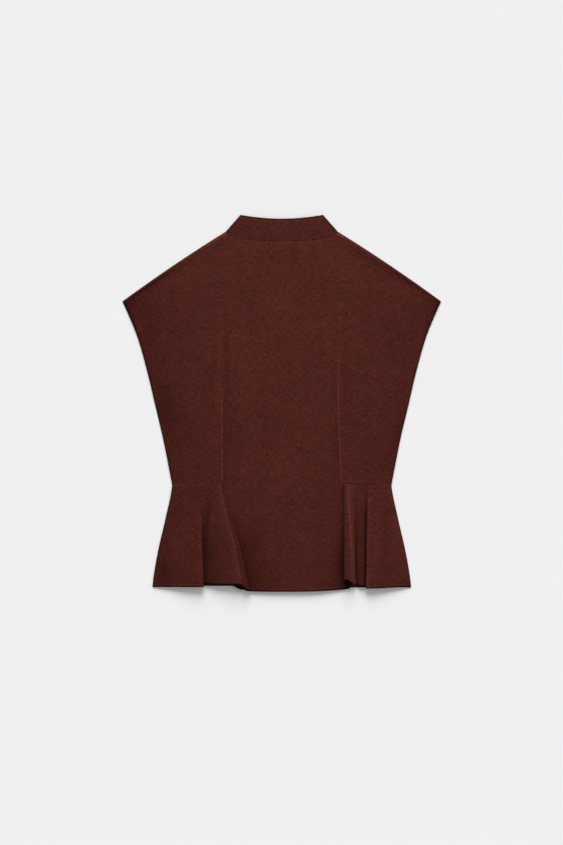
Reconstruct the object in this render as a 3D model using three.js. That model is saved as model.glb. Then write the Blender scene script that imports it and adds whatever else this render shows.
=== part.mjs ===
// A sleeveless top with a standing collar and a flared peplum, laid out flat with its back upwards.
// X runs across the garment, Y from hem to collar and Z up from the surface it lies on, all in millimetres.
import * as THREE from "three";

// Cloth and seams
const WALL = 1.0;
const SEAM = 0.3;
const CLOTH_COLOUR = 0x4d241e;

// Heights of the middle of the cloth above the floor
const FRONT_LEVEL = WALL / 2;
const EDGE_LEVEL = FRONT_LEVEL + WALL + SEAM;
const PUFF = 3.2;
const PUFF_REACH = 70;
const FOLD_PRESS = 1.8;

// Neck and collar, the neck seam is flat in the middle and turns up at the sides by this power
const NECK_HALF = 91.5;
const NECK_POWER = 4;
const NECK_SIDE_Y = 277.5;
const BACK_NECK_Y = 262.5;
const FRONT_NECK_Y = 250;
const COLLAR_TOP_HALF = 67;
const COLLAR_TOP_Y = 305;
const COLLAR_BACK_DIP = 5.5;
const COLLAR_FRONT_DIP = 9;
const COLLAR_TOP_LEVEL = 5.6;
const COLLAR_TOP_EDGE_LEVEL = 2.6;

// Shoulder: the front passes over it as a strip that narrows towards the sleeve
const TIP = new THREE.Vector2(258, 165);
const SHOULDER_BOW = 3;
const STRIP_AT_NECK = 6;
const STRIP_AT_TIP = 3.5;
const STRIP_END = 0.15;

// Edge of one side from the waist up to the sleeve tip, the armhole starts at the third point
const WAIST_HALF = 177.5;
const WAIST_SIDE_Y = -132;
const SIDE_EDGE = new THREE.SplineCurve([
  new THREE.Vector2(WAIST_HALF, WAIST_SIDE_Y),
  new THREE.Vector2(190.8, -64),
  new THREE.Vector2(204.3, -6),
  new THREE.Vector2(218, 52),
  new THREE.Vector2(235, 110.6),
  TIP,
]);

// Edge of one side of the peplum from the waist down to the hem
const PEPLUM_EDGE = new THREE.SplineCurve([
  new THREE.Vector2(WAIST_HALF, WAIST_SIDE_Y),
  new THREE.Vector2(187.2, -177),
  new THREE.Vector2(199.6, -237),
  new THREE.Vector2(209.3, -297.5),
]);
const HEM_LOWEST_Y = -305;
const FRONT_HEM_Y = -298;

// What differs between the wearer's left (-X) and right (+X)
// waistY, dartX: where the dart meets the waist; bend: how soon it leans to the neck; dartTop: its length
// seamX, seamHemY: foot of the seam between the middle of the back and the peplum
const SIDES = {
  left: { sign: -1, waistY: -125, dartX: 97, bend: 3, dartTop: 0.43, seamX: 88, seamHemY: -301.5 },
  right: { sign: 1, waistY: -130.8, dartX: 97, bend: 0.7, dartTop: 0.57, seamX: 108, seamHemY: -297.5 },
};
const DART_DEPTH = 0.5;
const DART_WIDTH = 2.5;

// Folds of the peplum in order from the middle of the back outwards, distances from the middle line
// waist, hem: where the fold's outer nose lies; curve: how its line bends; opens: how far down it starts
// turn, ply: how far the cloth turns over (degrees) and how much lies doubled at the hem
// hidden, nose: radii of the two bends; low: level under the fold; lowY, topY: its hem
// crest, crestAt, drop: swell on the cloth beyond it and how late that cloth falls
const FOLDS = {
  left: [
    {
      waist: 96, hem: 53, curve: 0.85, opens: 0, turn: 177.5, ply: 40, hidden: 0.8, nose: 1.5,
      low: 3.1, lowY: -299, topY: -299.5, crest: 2, crestAt: 0.16, drop: 1.2,
    },
    {
      waist: 132, hem: 125.5, curve: 1, opens: 0.15, turn: 178, ply: 12, hidden: 0.9, nose: 1.1,
      low: 2.4, lowY: -293, topY: -297.2, crest: 0, crestAt: 0.5, drop: 1,
    },
  ],
  right: [
    {
      waist: 100, hem: 101, curve: 1, opens: 0, turn: 176, ply: 3, hidden: 0.8, nose: 4.6,
      low: 3.1, lowY: -297, topY: -289.5, crest: 0, crestAt: 0.5, drop: 1.7,
    },
    {
      waist: 117, hem: 121, curve: 1, opens: 0, turn: 0, ply: 0, hidden: 0, nose: 0,
      low: 3.4, lowY: -292, topY: -292, crest: 2.2, crestAt: 0.27, drop: 1,
    },
    {
      waist: 139, hem: 136, curve: 1, opens: 0.05, turn: 178, ply: 10, hidden: 0.95, nose: 1.2,
      low: 2.4, lowY: -298, topY: -299.6, crest: 0, crestAt: 0.5, drop: 1,
    },
  ],
};
const OPENING_RUN = 0.24;
const LEAST_RADIUS = 0.8;
const LEAST_PLY = 1;
const LEAST_RUN = 0.8;
const WAIST_FOLD_SIZE = 0.55;

// Runs between folds have their points closer near the fold they leave, and a swell is this many
// times as long as the way to its top
const RUN_CROWDING = 1.25;
const SWELL_LENGTH = 2.2;

// Fineness of the walls
const BODY_ROWS = 15;
const MIDDLE_COLUMNS = 7;
const SIDE_COLUMNS = 7;
const COLLAR_ROWS = 3;
const FRONT_PEPLUM_STEPS = 5;
const ARC_STEPS = 4;
const PLY_STEPS = 2;
const RUN_STEPS = 8;
const ROLL_STEPS = 4;
// Rows of the peplum from waist (0) to hem (1), closest where the folds turn over
const GROWTH = [0, 0.03, 0.06, 0.09, 0.12, 0.15, 0.18, 0.21, 0.25, 0.32, 0.42, 0.54, 0.66, 0.78, 0.9, 1];

const lerp = THREE.MathUtils.lerp;
const clamp01 = (value) => THREE.MathUtils.clamp(value, 0, 1);
const smooth = (value) => THREE.MathUtils.smoothstep(value, 0, 1);
const steps = (count) => Array.from({ length: count + 1 }, (_, index) => index / count);

// Outline of the shoulder and the way out of the garment across it
const NECK_POINT = new THREE.Vector2(NECK_HALF, NECK_SIDE_Y);
const SHOULDER = TIP.clone().sub(NECK_POINT);
const SHOULDER_OUT = new THREE.Vector2(-SHOULDER.y, SHOULDER.x).normalize();
const SHOULDER_ROLL = (EDGE_LEVEL - FRONT_LEVEL) / 2;

function shoulderPoint(along) {
  const bow = 4 * SHOULDER_BOW * along * (1 - along);
  return NECK_POINT.clone().addScaledVector(SHOULDER, along).addScaledVector(SHOULDER_OUT, bow);
}

function neckY(half, lowest) {
  return lowest + (NECK_SIDE_Y - lowest) * (half / NECK_HALF) ** NECK_POWER;
}

// Inner edge of the shoulder strip: at the neck it follows the neck seam
function stripPoint(along, width) {
  const neckSlope = (NECK_POWER * (NECK_SIDE_Y - BACK_NECK_Y)) / NECK_HALF;
  const neckward = new THREE.Vector2(-1, -neckSlope).normalize();
  const inward = SHOULDER_OUT.clone().negate();
  const direction = neckward.lerp(inward, clamp01(along / STRIP_END)).normalize();
  return shoulderPoint(along).addScaledVector(direction, width);
}

const stripWidth = (along) => lerp(STRIP_AT_NECK, STRIP_AT_TIP, along);

function halfWidthAt(y) {
  const curve = y > WAIST_SIDE_Y ? SIDE_EDGE : PEPLUM_EDGE;
  const ends = [curve.points[0].y, curve.points.at(-1).y];
  return curve.getPoint(clamp01((y - ends[0]) / (ends[1] - ends[0]))).x;
}

// Height of the back at a place, lowest along the side and shoulder seams
function backLevel(half, y) {
  const toSide = clamp01((halfWidthAt(y) - half) / PUFF_REACH);
  const fromNeck = new THREE.Vector2(half, y).sub(NECK_POINT);
  const toShoulder = clamp01(-fromNeck.dot(SHOULDER_OUT) / PUFF_REACH);
  return EDGE_LEVEL + PUFF * smooth(toSide) * smooth(toShoulder);
}

// The waist line of one side, and the middle of the back between the two darts
function waistY(side, half) {
  if (half > side.dartX) {
    return lerp(side.waistY, WAIST_SIDE_Y, (half - side.dartX) / (WAIST_HALF - side.dartX));
  }
  const middleY = (SIDES.left.waistY + SIDES.right.waistY) / 2;
  return lerp(middleY, side.waistY, half / side.dartX);
}

// Spreads a wall of even thickness over a grid of points and closes it along every free edge
// Places of the grid with no point are left open
function wallGeometry(grid) {
  const rows = grid.length;
  const columns = grid[0].length;
  const along = new THREE.Vector3();
  const across = new THREE.Vector3();
  const position = [];
  const place = new Map();

  const put = (row, column, face) => {
    const key = (row * columns + column) * 2 + face;
    if (!place.has(key)) {
      const left = grid[row][Math.max(column - 1, 0)] ?? grid[row][column];
      const right = grid[row][Math.min(column + 1, columns - 1)] ?? grid[row][column];
      const below = grid[Math.max(row - 1, 0)][column] ?? grid[row][column];
      const above = grid[Math.min(row + 1, rows - 1)][column] ?? grid[row][column];
      across.subVectors(right, left);
      along.subVectors(above, below);
      const out = new THREE.Vector3().crossVectors(across, along).normalize();
      const point = grid[row][column].clone().addScaledVector(out, face ? -WALL / 2 : WALL / 2);
      place.set(key, position.length / 3);
      position.push(point.x, point.y, point.z);
    }
    return place.get(key);
  };

  const index = [];
  const quad = (a, b, c, d) => index.push(a, b, c, a, c, d);
  const edges = new Map();
  for (let row = 0; row < rows - 1; row += 1) {
    for (let column = 0; column < columns - 1; column += 1) {
      const corners = [[row, column], [row, column + 1], [row + 1, column + 1], [row + 1, column]];
      if (!corners.every(([r, c]) => grid[r][c])) continue;
      quad(...corners.map(([r, c]) => put(r, c, 0)));
      quad(...corners.map(([r, c]) => put(r, c, 1)).reverse());
      corners.forEach((from, turn) => {
        const to = corners[(turn + 1) % 4];
        edges.set(`${from}>${to}`, [from, to]);
      });
    }
  }
  for (const [from, to] of edges.values()) {
    if (edges.has(`${to}>${from}`)) continue;
    quad(put(...to, 0), put(...from, 0), put(...from, 1), put(...to, 1));
  }
  const geometry = new THREE.BufferGeometry();
  geometry.setAttribute("position", new THREE.Float32BufferAttribute(position, 3));
  geometry.setIndex(index);
  geometry.computeVertexNormals();
  return geometry;
}

function clothMesh(name, geometry) {
  const cloth = new THREE.MeshStandardMaterial({ color: CLOTH_COLOUR, roughness: 0.85, metalness: 0 });
  const mesh = new THREE.Mesh(geometry, cloth);
  mesh.name = name;
  return mesh;
}

// Line of the dart and of the grid above it, from the waist to the neck end of the shoulder seam
function dartLine(side, up, top) {
  const x = lerp(side.dartX, top.x, up ** side.bend);
  return new THREE.Vector2(x, lerp(side.waistY, top.y, up));
}

// Point between the dart line and the side edge, with the top row moved onto the shoulder line given
function flankPoint(side, out, up, topRow) {
  const inner = dartLine(side, up, topRow(0));
  const outer = SIDE_EDGE.getPoint(up);
  const point = inner.lerp(outer, out);
  const straightTop = topRow(0).lerp(TIP, out);
  return point.add(topRow(out).sub(straightTop).multiplyScalar(up ** 6));
}

// Fractions across the middle of the back and across its flank, with close ones for the dart's groove
function middleFractions(side) {
  const groove = DART_WIDTH / side.dartX;
  return [...steps(MIDDLE_COLUMNS).map((step) => step * (1 - 2 * groove)), 1 - groove, 1];
}

const flankFractions = () => [DART_WIDTH / (WAIST_HALF - SIDES.left.dartX), ...steps(SIDE_COLUMNS).slice(1)];

function dartGroove(side, up) {
  return up < side.dartTop ? DART_DEPTH * smooth(((side.dartTop - up) / side.dartTop) * 4) : 0;
}

// Half of one row of the back above the waist, from the middle outwards
function backRow(side, up) {
  const top = (out) => stripPoint(out, stripWidth(out) + SEAM);
  const points = [];
  const edge = dartLine(side, up, top(0));
  for (const out of middleFractions(side)) {
    const half = edge.x * out;
    const neck = neckY(top(0).x * out, BACK_NECK_Y);
    const y = lerp(waistY(side, half), neck, up);
    const groove = out === 1 ? dartGroove(side, up) : 0;
    points.push(new THREE.Vector3(half * side.sign, y, backLevel(half, y) - groove));
  }
  for (const out of flankFractions()) {
    const { x, y } = flankPoint(side, out, up, top);
    points.push(new THREE.Vector3(x * side.sign, y, backLevel(x, y)));
  }
  return points;
}

// The seam between the middle of the back and the peplum, from waist (0) to hem (1)
function innerSeam(side, down) {
  const x = lerp(side.dartX, side.seamX, down);
  return { x, y: lerp(side.waistY, side.seamHemY, down), z: middleLevel(side, 1, down) };
}

function middleLevel(side, out, down) {
  const half = side.dartX * out;
  const waistLevel = backLevel(half, waistY(side, half));
  const groove = out === 1 ? DART_DEPTH : 0;
  return waistLevel - groove - (FOLD_PRESS - groove) * down * smooth((out - 0.5) / 0.5);
}

// Half of one row of the back below the waist, which has only the middle
function backTailRow(side, down) {
  return middleFractions(side).map((out) => {
    const seam = innerSeam(side, down);
    const hemY = lerp(HEM_LOWEST_Y, side.seamHemY, out ** 2.5);
    const y = lerp(waistY(side, side.dartX * out), hemY, down);
    return new THREE.Vector3(seam.x * out * side.sign, y, middleLevel(side, out, down));
  });
}

function backBody() {
  const tail = GROWTH.slice(1).reverse();
  const blank = flankFractions().map(() => undefined);
  const wholeRow = (left, right) => [...left.reverse().slice(0, -1), ...right];
  const tailRows = tail.map((down) =>
    wholeRow([...backTailRow(SIDES.left, down), ...blank], [...backTailRow(SIDES.right, down), ...blank]),
  );
  const bodyRows = steps(BODY_ROWS).map((up) =>
    wholeRow(backRow(SIDES.left, up), backRow(SIDES.right, up)),
  );
  return clothMesh("back_body", wallGeometry([...tailRows, ...bodyRows]));
}

// The front lies flat on the floor and rolls over the shoulder onto the back
function frontBody(name, side) {
  const inset = SHOULDER_ROLL + WALL / 2;
  const top = (out) => shoulderPoint(out).addScaledVector(SHOULDER_OUT, -inset);
  const flanks = steps(SIDE_COLUMNS);
  const middle = steps(MIDDLE_COLUMNS - 2).slice(0, -1);
  const grid = steps(BODY_ROWS - 3).map((up) => {
    const row = [];
    const edge = dartLine(side, up, top(0));
    for (const out of middle) {
      const half = lerp(SEAM / 2, edge.x, out);
      const y = lerp(waistY(side, half), neckY(top(0).x * out, FRONT_NECK_Y) - inset * out, up);
      row.push(new THREE.Vector3(half * side.sign, y, FRONT_LEVEL));
    }
    for (const out of flanks) {
      const { x, y } = flankPoint(side, out, up, top);
      row.push(new THREE.Vector3(x * side.sign, y, FRONT_LEVEL));
    }
    return row;
  });
  const blank = middle.map(() => undefined);
  const overShoulder = (place) => grid.push([...blank, ...flanks.map(place)]);
  for (const turn of steps(ROLL_STEPS).slice(1)) {
    overShoulder((out) => {
      const reach = SHOULDER_ROLL * Math.sin(Math.PI * turn);
      const { x, y } = top(out).addScaledVector(SHOULDER_OUT, reach);
      const rise = SHOULDER_ROLL * (1 - Math.cos(Math.PI * turn));
      return new THREE.Vector3(x * side.sign, y, FRONT_LEVEL + rise);
    });
  }
  overShoulder((out) => {
    const { x, y } = stripPoint(out, stripWidth(out));
    return new THREE.Vector3(x * side.sign, y, backLevel(x, y));
  });
  return clothMesh(name, wallGeometry(turnedOut(grid, side)));
}

// Mirrored grids are read the other way round so that their faces still point out
function turnedOut(grid, side) {
  return side.sign > 0 ? grid : grid.map((row) => [...row].reverse());
}

function frontPeplum(name, side) {
  const grid = [...steps(FRONT_PEPLUM_STEPS)].reverse().map((down) => {
    const edge = PEPLUM_EDGE.getPoint(down).x;
    return steps(FRONT_PEPLUM_STEPS).map((out) => {
      const half = lerp(SEAM / 2, edge, out);
      const waist = lerp(SEAM / 2, PEPLUM_EDGE.points[0].x, out);
      const y = lerp(waistY(side, waist) - SEAM, FRONT_HEM_Y, down);
      return new THREE.Vector3(half * side.sign, y, FRONT_LEVEL);
    });
  });
  return clothMesh(name, wallGeometry(turnedOut(grid, side)));
}

// Walks a bend of given length and turning, then returns where it got to
function walkBend(points, length, from, to) {
  const stride = length / ARC_STEPS;
  for (let step = 0; step < ARC_STEPS; step += 1) {
    const heading = lerp(from, to, (step + 0.5) / ARC_STEPS);
    const last = points.at(-1);
    points.push({ x: last.x + stride * Math.cos(heading), z: last.z + stride * Math.sin(heading) });
  }
}

// One fold in section: a bend up and back, the doubled ply, and a bend forward again
function foldPath(fold, down) {
  const open = clamp01((down - fold.opens) / (1 - fold.opens));
  const turned = THREE.MathUtils.degToRad(fold.turn) * smooth(clamp01((down - fold.opens) / OPENING_RUN));
  const size = lerp(WAIST_FOLD_SIZE, 1, open);
  const points = [{ x: 0, z: 0 }];
  walkBend(points, Math.PI * Math.max(fold.hidden * size, LEAST_RADIUS), 0, turned);
  const ply = (fold.ply * open ** 1.2 + LEAST_PLY) / PLY_STEPS;
  for (let step = 0; step < PLY_STEPS; step += 1) {
    const last = points.at(-1);
    points.push({ x: last.x + ply * Math.cos(turned), z: last.z + ply * Math.sin(turned) });
  }
  const nose = Math.max(fold.nose * size, LEAST_RADIUS);
  walkBend(points, Math.PI * nose, turned, 0);
  const overhang = (nose * (1 - Math.cos(turned))) / 2;
  return { points, overhang };
}

// Swell of the cloth beyond a fold, highest at the given fraction of the way to the next one
const swell = (along, peak) => Math.sin(Math.PI * clamp01(along / (SWELL_LENGTH * peak))) ** 2;

// One row of the peplum from the inner seam to the side seam
function peplumRow(side, folds, down) {
  const seam = innerSeam(side, down);
  const edge = PEPLUM_EDGE.getPoint(down);
  const row = [{ x: seam.x + SEAM, z: seam.z, hem: side.seamHemY }];
  let crest = 0;
  let crestAt = 1;
  let drop = 1;
  const runTo = (target, count) => {
    const from = row.at(-1);
    for (const step of steps(count).slice(1)) {
      const along = step ** RUN_CROWDING;
      const fall = smooth(along ** drop);
      row.push({
        x: lerp(from.x, target.x, along),
        z: lerp(from.z, target.z, fall) + crest * swell(along, crestAt),
        hem: lerp(from.hem, target.hem, fall),
      });
    }
  };
  folds.forEach((fold, order) => {
    const { points, overhang } = foldPath(fold, down);
    const noseX = lerp(fold.waist, fold.hem, down ** fold.curve);
    const wanted = fold.turn ? noseX + overhang - points.at(-1).x : noseX;
    const x = Math.max(wanted, row.at(-1).x + LEAST_RUN);
    const z = lerp(backLevel(x, edge.y), fold.low, down);
    runTo({ x, z: order ? z : seam.z, hem: fold.lowY }, order ? RUN_STEPS : 1);
    if (fold.turn) {
      const foot = row.at(-1);
      points.slice(1).forEach((point, step) => {
        const hem = lerp(fold.lowY, fold.topY, (step + 1) / (points.length - 1));
        row.push({ x: foot.x + point.x, z: foot.z + point.z, hem });
      });
    }
    crest = fold.crest * down;
    crestAt = fold.crestAt;
    drop = fold.drop;
  });
  runTo({ x: edge.x, z: EDGE_LEVEL, hem: PEPLUM_EDGE.points.at(-1).y }, RUN_STEPS);
  return row.map(({ x, z, hem }) => {
    const y = lerp(waistY(side, Math.max(x, side.dartX)) - SEAM, hem, down);
    return new THREE.Vector3(x * side.sign, y, z);
  });
}

function backPeplum(name, side, folds) {
  const grid = [...GROWTH].reverse().map((down) => peplumRow(side, folds, down));
  return clothMesh(name, wallGeometry(turnedOut(grid, side)));
}

// One column of the collar: its foot, its top, and the levels of both
function collarColumn(foot, head) {
  return steps(COLLAR_ROWS).map((up) => new THREE.Vector3().lerpVectors(foot, head, up));
}

// The band runs from the middle of the front round one side, over the back and round the other side
function collarHalf(side) {
  const inset = SHOULDER_ROLL + WALL / 2;
  const stripX = stripPoint(0, stripWidth(0) + SEAM).x;
  const footEdge = shoulderPoint(0).x - inset;
  const headRoll = (COLLAR_TOP_EDGE_LEVEL - FRONT_LEVEL) / 2;
  const headEdge = COLLAR_TOP_HALF - headRoll - WALL / 2;
  const headY = (half, dip) => COLLAR_TOP_Y - dip * (1 - (half / COLLAR_TOP_HALF) ** 2);
  const columns = [];
  const backHalves = [...middleFractions(side).map((out) => out * stripX), footEdge];
  for (const half of backHalves) {
    const share = half / footEdge;
    const footY = neckY(half, BACK_NECK_Y) + SEAM;
    const foot = new THREE.Vector3(half * side.sign, footY, backLevel(half, neckY(half, BACK_NECK_Y)));
    const level = lerp(COLLAR_TOP_LEVEL, COLLAR_TOP_EDGE_LEVEL, share ** 4);
    const headHalf = headEdge * share;
    const head = new THREE.Vector3(headHalf * side.sign, headY(headHalf, COLLAR_BACK_DIP), level);
    columns.push(collarColumn(foot, head));
  }
  const footY = neckY(footEdge, BACK_NECK_Y) + SEAM;
  const footLevel = backLevel(footEdge, footY);
  const footRoll = (footLevel - FRONT_LEVEL) / 2;
  for (const turn of steps(ROLL_STEPS).slice(1)) {
    const out = Math.sin(Math.PI * turn);
    const lift = 1 + Math.cos(Math.PI * turn);
    const footX = footEdge + footRoll * out;
    const foot = new THREE.Vector3(footX * side.sign, footY + 0.2 * out, FRONT_LEVEL + footRoll * lift);
    const headX = headEdge + headRoll * out;
    const headPlace = headY(headEdge, COLLAR_BACK_DIP);
    const head = new THREE.Vector3(headX * side.sign, headPlace, FRONT_LEVEL + headRoll * lift);
    columns.push(collarColumn(foot, head));
  }
  for (const share of steps(MIDDLE_COLUMNS - 2).slice(1)) {
    const half = lerp(footEdge, SEAM / 2, share);
    const frontFoot = lerp(footY, neckY(half, FRONT_NECK_Y) + SEAM, smooth(clamp01(share * 5)));
    const headHalf = lerp(headEdge, SEAM / 2, share);
    const frontHead = headY(headHalf, COLLAR_FRONT_DIP) - 0.3 * share;
    const foot = new THREE.Vector3(half * side.sign, frontFoot, FRONT_LEVEL);
    const head = new THREE.Vector3(headHalf * side.sign, frontHead, FRONT_LEVEL);
    columns.push(collarColumn(foot, head));
  }
  return columns;
}

function collar() {
  const columns = [...collarHalf(SIDES.left).reverse().slice(0, -1), ...collarHalf(SIDES.right)];
  const grid = steps(COLLAR_ROWS).map((_, row) => columns.map((column) => column[row]));
  return clothMesh("collar", wallGeometry(grid));
}

const top = new THREE.Group();
top.add(backBody());
for (const [name, side] of Object.entries(SIDES)) {
  top.add(backPeplum(`back_peplum_${name}`, side, FOLDS[name]));
  top.add(frontBody(`front_body_${name}`, side));
  top.add(frontPeplum(`front_peplum_${name}`, side));
}
top.add(collar());

export default top;
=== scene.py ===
"""Dresses a laid-out peplum top: thin woven shells with folds, seams, stitches and soft creases."""

import logging
import math
from dataclasses import dataclass
from enum import Enum
from typing import Callable, Iterable, Optional

import bmesh
import bpy
from mathutils import Matrix, Vector, noise

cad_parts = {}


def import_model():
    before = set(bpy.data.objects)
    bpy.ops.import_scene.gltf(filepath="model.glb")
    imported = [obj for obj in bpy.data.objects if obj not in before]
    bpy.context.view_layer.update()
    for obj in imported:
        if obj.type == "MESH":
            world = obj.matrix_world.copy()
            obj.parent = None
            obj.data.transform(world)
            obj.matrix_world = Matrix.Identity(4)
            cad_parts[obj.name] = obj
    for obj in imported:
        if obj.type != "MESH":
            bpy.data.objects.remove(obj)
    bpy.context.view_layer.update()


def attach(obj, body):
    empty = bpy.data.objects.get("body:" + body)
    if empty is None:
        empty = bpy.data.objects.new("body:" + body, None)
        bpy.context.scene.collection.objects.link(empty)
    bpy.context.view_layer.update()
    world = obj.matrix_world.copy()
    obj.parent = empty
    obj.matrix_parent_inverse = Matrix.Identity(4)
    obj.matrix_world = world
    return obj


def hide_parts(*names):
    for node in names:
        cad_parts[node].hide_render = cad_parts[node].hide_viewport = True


LOG = logging.getLogger("peplum_top")
MM = 0.001
BODY = "root"

# Names of the place on the flat cut and of the painted light and shade on each piece of cloth.
FLAT_CUT = "flat_cut"
PAINTED_LIGHT_TONE = "painted_light_tone"

Rgb = tuple[float, float, float]

# Colour of the cloth, and the share of its brightness that the peplum and the collar have, as painted shade
# on copies of the same cloth.
CLOTH_COLOUR: Rgb = (0.0694, 0.0145, 0.0099)
PEPLUM_SHADE_SHARE = 0.97
COLLAR_SHADE_SHARE = 0.95


def lerp(start: float, end: float, share: float) -> float:
    """Returns the value that lies a share of the way from start to end."""
    return start + (end - start) * share


def clamp01(value: float) -> float:
    """Returns the value held between 0 and 1."""
    return min(max(value, 0.0), 1.0)


def smooth(value: float) -> float:
    """Returns an eased step from 0 to 1."""
    held = clamp01(value)
    return held * held * (3 - 2 * held)


def spline(points: list[tuple[float, float]], share: float) -> Vector:
    """Runs a smooth line through the points.

    Args:
        points: Places that the line passes through.
        share: How far along, with the points evenly spread from 0 to 1.

    Returns:
        The place on the line.
    """
    last = len(points) - 1
    at = clamp01(share) * last
    index = min(int(at), last - 1)
    rest = at - index
    before, here, there, after = (
        Vector(points[min(max(index + step, 0), last)]) for step in (-1, 0, 1, 2)
    )
    leave = (there - before) * 0.5
    arrive = (after - here) * 0.5
    cubic = (here - there) * 2 + leave + arrive
    square = (there - here) * 3 - leave * 2 - arrive
    return ((cubic * rest + square) * rest + leave) * rest + here


def fractions(length: float, stride: float, start: Iterable[float], end: Iterable[float]) -> list[float]:
    """Spreads places over a stretch, with closer ones near its two ends.

    Args:
        length: Length of the stretch in millimetres.
        stride: Usual distance between places.
        start: Extra distances from the start.
        end: Extra distances from the end.

    Returns:
        Shares of the length from 0 to 1.
    """
    close_start = [0.0, *start]
    close_end = [length - distance for distance in sorted(end, reverse=True)] + [length]
    free = close_end[0] - close_start[-1]
    count = max(round(free / stride), 1)
    middle = [close_start[-1] + free * step / count for step in range(1, count)]
    return [place / length for place in [*close_start, *middle, *close_end]]


def bell(distance: float, width: float) -> float:
    """Returns a soft bump, which is 1 at no distance and fades over a width."""
    return math.exp(-((distance / width) ** 2))


@dataclass(frozen=True)
class Line:
    """A soft line at a place beside an edge, in millimetres."""

    strength: float
    place: float
    width: float

    def at(self, distance: float) -> float:
        """Returns the line's strength at a distance from the edge."""
        return self.strength * bell(distance - self.place, self.width)


@dataclass(frozen=True)
class Slope:
    """What is strongest on an edge and ends at a width from it, in millimetres."""

    strength: float
    width: float

    def at(self, distance: float) -> float:
        """Returns its strength at a distance from the edge."""
        return self.strength * (1 - smooth(distance / self.width))


@dataclass(frozen=True)
class Fade:
    """What is strongest on an edge and fades away from it over a reach, in millimetres."""

    strength: float
    reach: float

    def at(self, distance: float) -> float:
        """Returns its strength at a distance from the edge."""
        return self.strength * math.exp(-max(distance, 0) / self.reach)


@dataclass(frozen=True)
class Shade:
    """Painted shade and highlights beside a fold, as shares of brightness and distances in millimetres.

    The cloth under the fold has painted shade by the first share, which fades over reach. The fold has
    painted shade by edge at its nose, and a painted highlight at the distance crest from it. A thin painted
    highlight on its nose is lighter by line.
    """

    painted_shade: float
    reach: float
    edge: float = 0.0
    painted_light: float = 0.14
    crest: float = 0.5
    line: float = 0.22


@dataclass(frozen=True)
class Fold:
    """One fold of the peplum, or a trough where turn is 0, in millimetres; X counts from the middle line.

    Attributes:
        waist: Place of the fold's nose at the waist.
        hem: Place of its nose at the hem.
        low: Level under the fold at the hem.
        low_y: Hem of the cloth under it.
        top_y: Hem of the cloth on it.
        run: Share of the height over which it comes up.
        shade: Painted shade and highlights on the cloth beside it.
        curve: Power by which its line bends.
        opens: Share of the height above which it stays shut.
        turn: Degrees by which the cloth turns back.
        ply: Doubled cloth at the hem.
        hidden: Radius of the bend under it.
        nose: Radius of the bend that shows.
        crest: Height of the swell beyond it.
        crest_at: Share of the way to the next fold at which the swell is highest.
        drop: Power by which the cloth beyond it falls.
        hem_run: Share of the way over which the hem beyond it falls into line.
    """

    waist: float
    hem: float
    low: float
    low_y: float
    top_y: float
    run: float
    shade: Shade
    curve: float = 1
    opens: float = 0
    turn: float = 0
    ply: float = 0
    hidden: float = 0
    nose: float = 0
    crest: float = 0
    crest_at: float = 0.5
    drop: float = 1
    hem_run: float = 1

    def nose_x(self, down: float) -> float:
        """Returns the place of the fold's nose a share of the way from waist to hem."""
        return lerp(self.waist, self.hem, down**self.curve)

    def risen(self, down: float) -> float:
        """Returns how far the fold has come up a share of the way from waist to hem."""
        return smooth((down - self.opens) / self.run)


@dataclass(frozen=True)
class Side:
    """What differs between the wearer's left (-X) and right (+X) side, in millimetres.

    Attributes:
        name: The side's part in the names of pieces.
        sign: Its direction along X.
        waist_y: Waist line at the dart.
        dart_x: Place of the dart at the waist.
        bend: Power by which the dart's line bends.
        dart_top: Share of the way up to the neck at which the dart ends.
        dart_highlight: How much lighter the painted highlight on the dart's edge is.
        seam_x: Place at the hem of the seam between middle and peplum.
        seam_hem_y: That seam's end at the hem.
        front_hem_y: Hem of the front.
        tuck: How far the hem is drawn up under the first fold.
        folds: The peplum's folds, from the middle outwards.
        tip_painted_shade: How much darker the sleeve's tip is, as painted shade.
        side_painted_light: How much lighter the peplum's side is, as painted light.
    """

    name: str
    sign: int
    waist_y: float
    dart_x: float
    bend: float
    dart_top: float
    dart_highlight: float
    seam_x: float
    seam_hem_y: float
    front_hem_y: float
    tuck: float
    folds: tuple[Fold, ...]
    tip_painted_shade: float = 0.22
    side_painted_light: float = 0.0


# A wide fold that leans over the middle of the back, with a narrow one beside it.
LEFT = Side(
    name="left",
    sign=-1,
    waist_y=-125,
    dart_x=97,
    bend=3,
    dart_top=0.43,
    dart_highlight=0.85,
    seam_x=88,
    seam_hem_y=-301.5,
    front_hem_y=-295.8,
    tuck=9,
    tip_painted_shade=0.36,
    folds=(
        Fold(
            waist=96, hem=53, curve=0.85, run=0.02, turn=177.5, ply=40, hidden=0.8, nose=2.3,
            low=3.1, low_y=-293.5, top_y=-301.5, crest=2.4, crest_at=0.16, drop=1.2, hem_run=0.13,
            shade=Shade(painted_shade=0.45, reach=38, edge=0.32, painted_light=0.2, crest=10),
        ),
        Fold(
            waist=132, hem=126.6, opens=0.12, run=0.4, turn=178, ply=12, hidden=1.1, nose=1.9,
            low=2.1, low_y=-292.6, top_y=-297.2, shade=Shade(painted_shade=0.55, reach=17, line=0.04),
        ),
    ),
)
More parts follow.
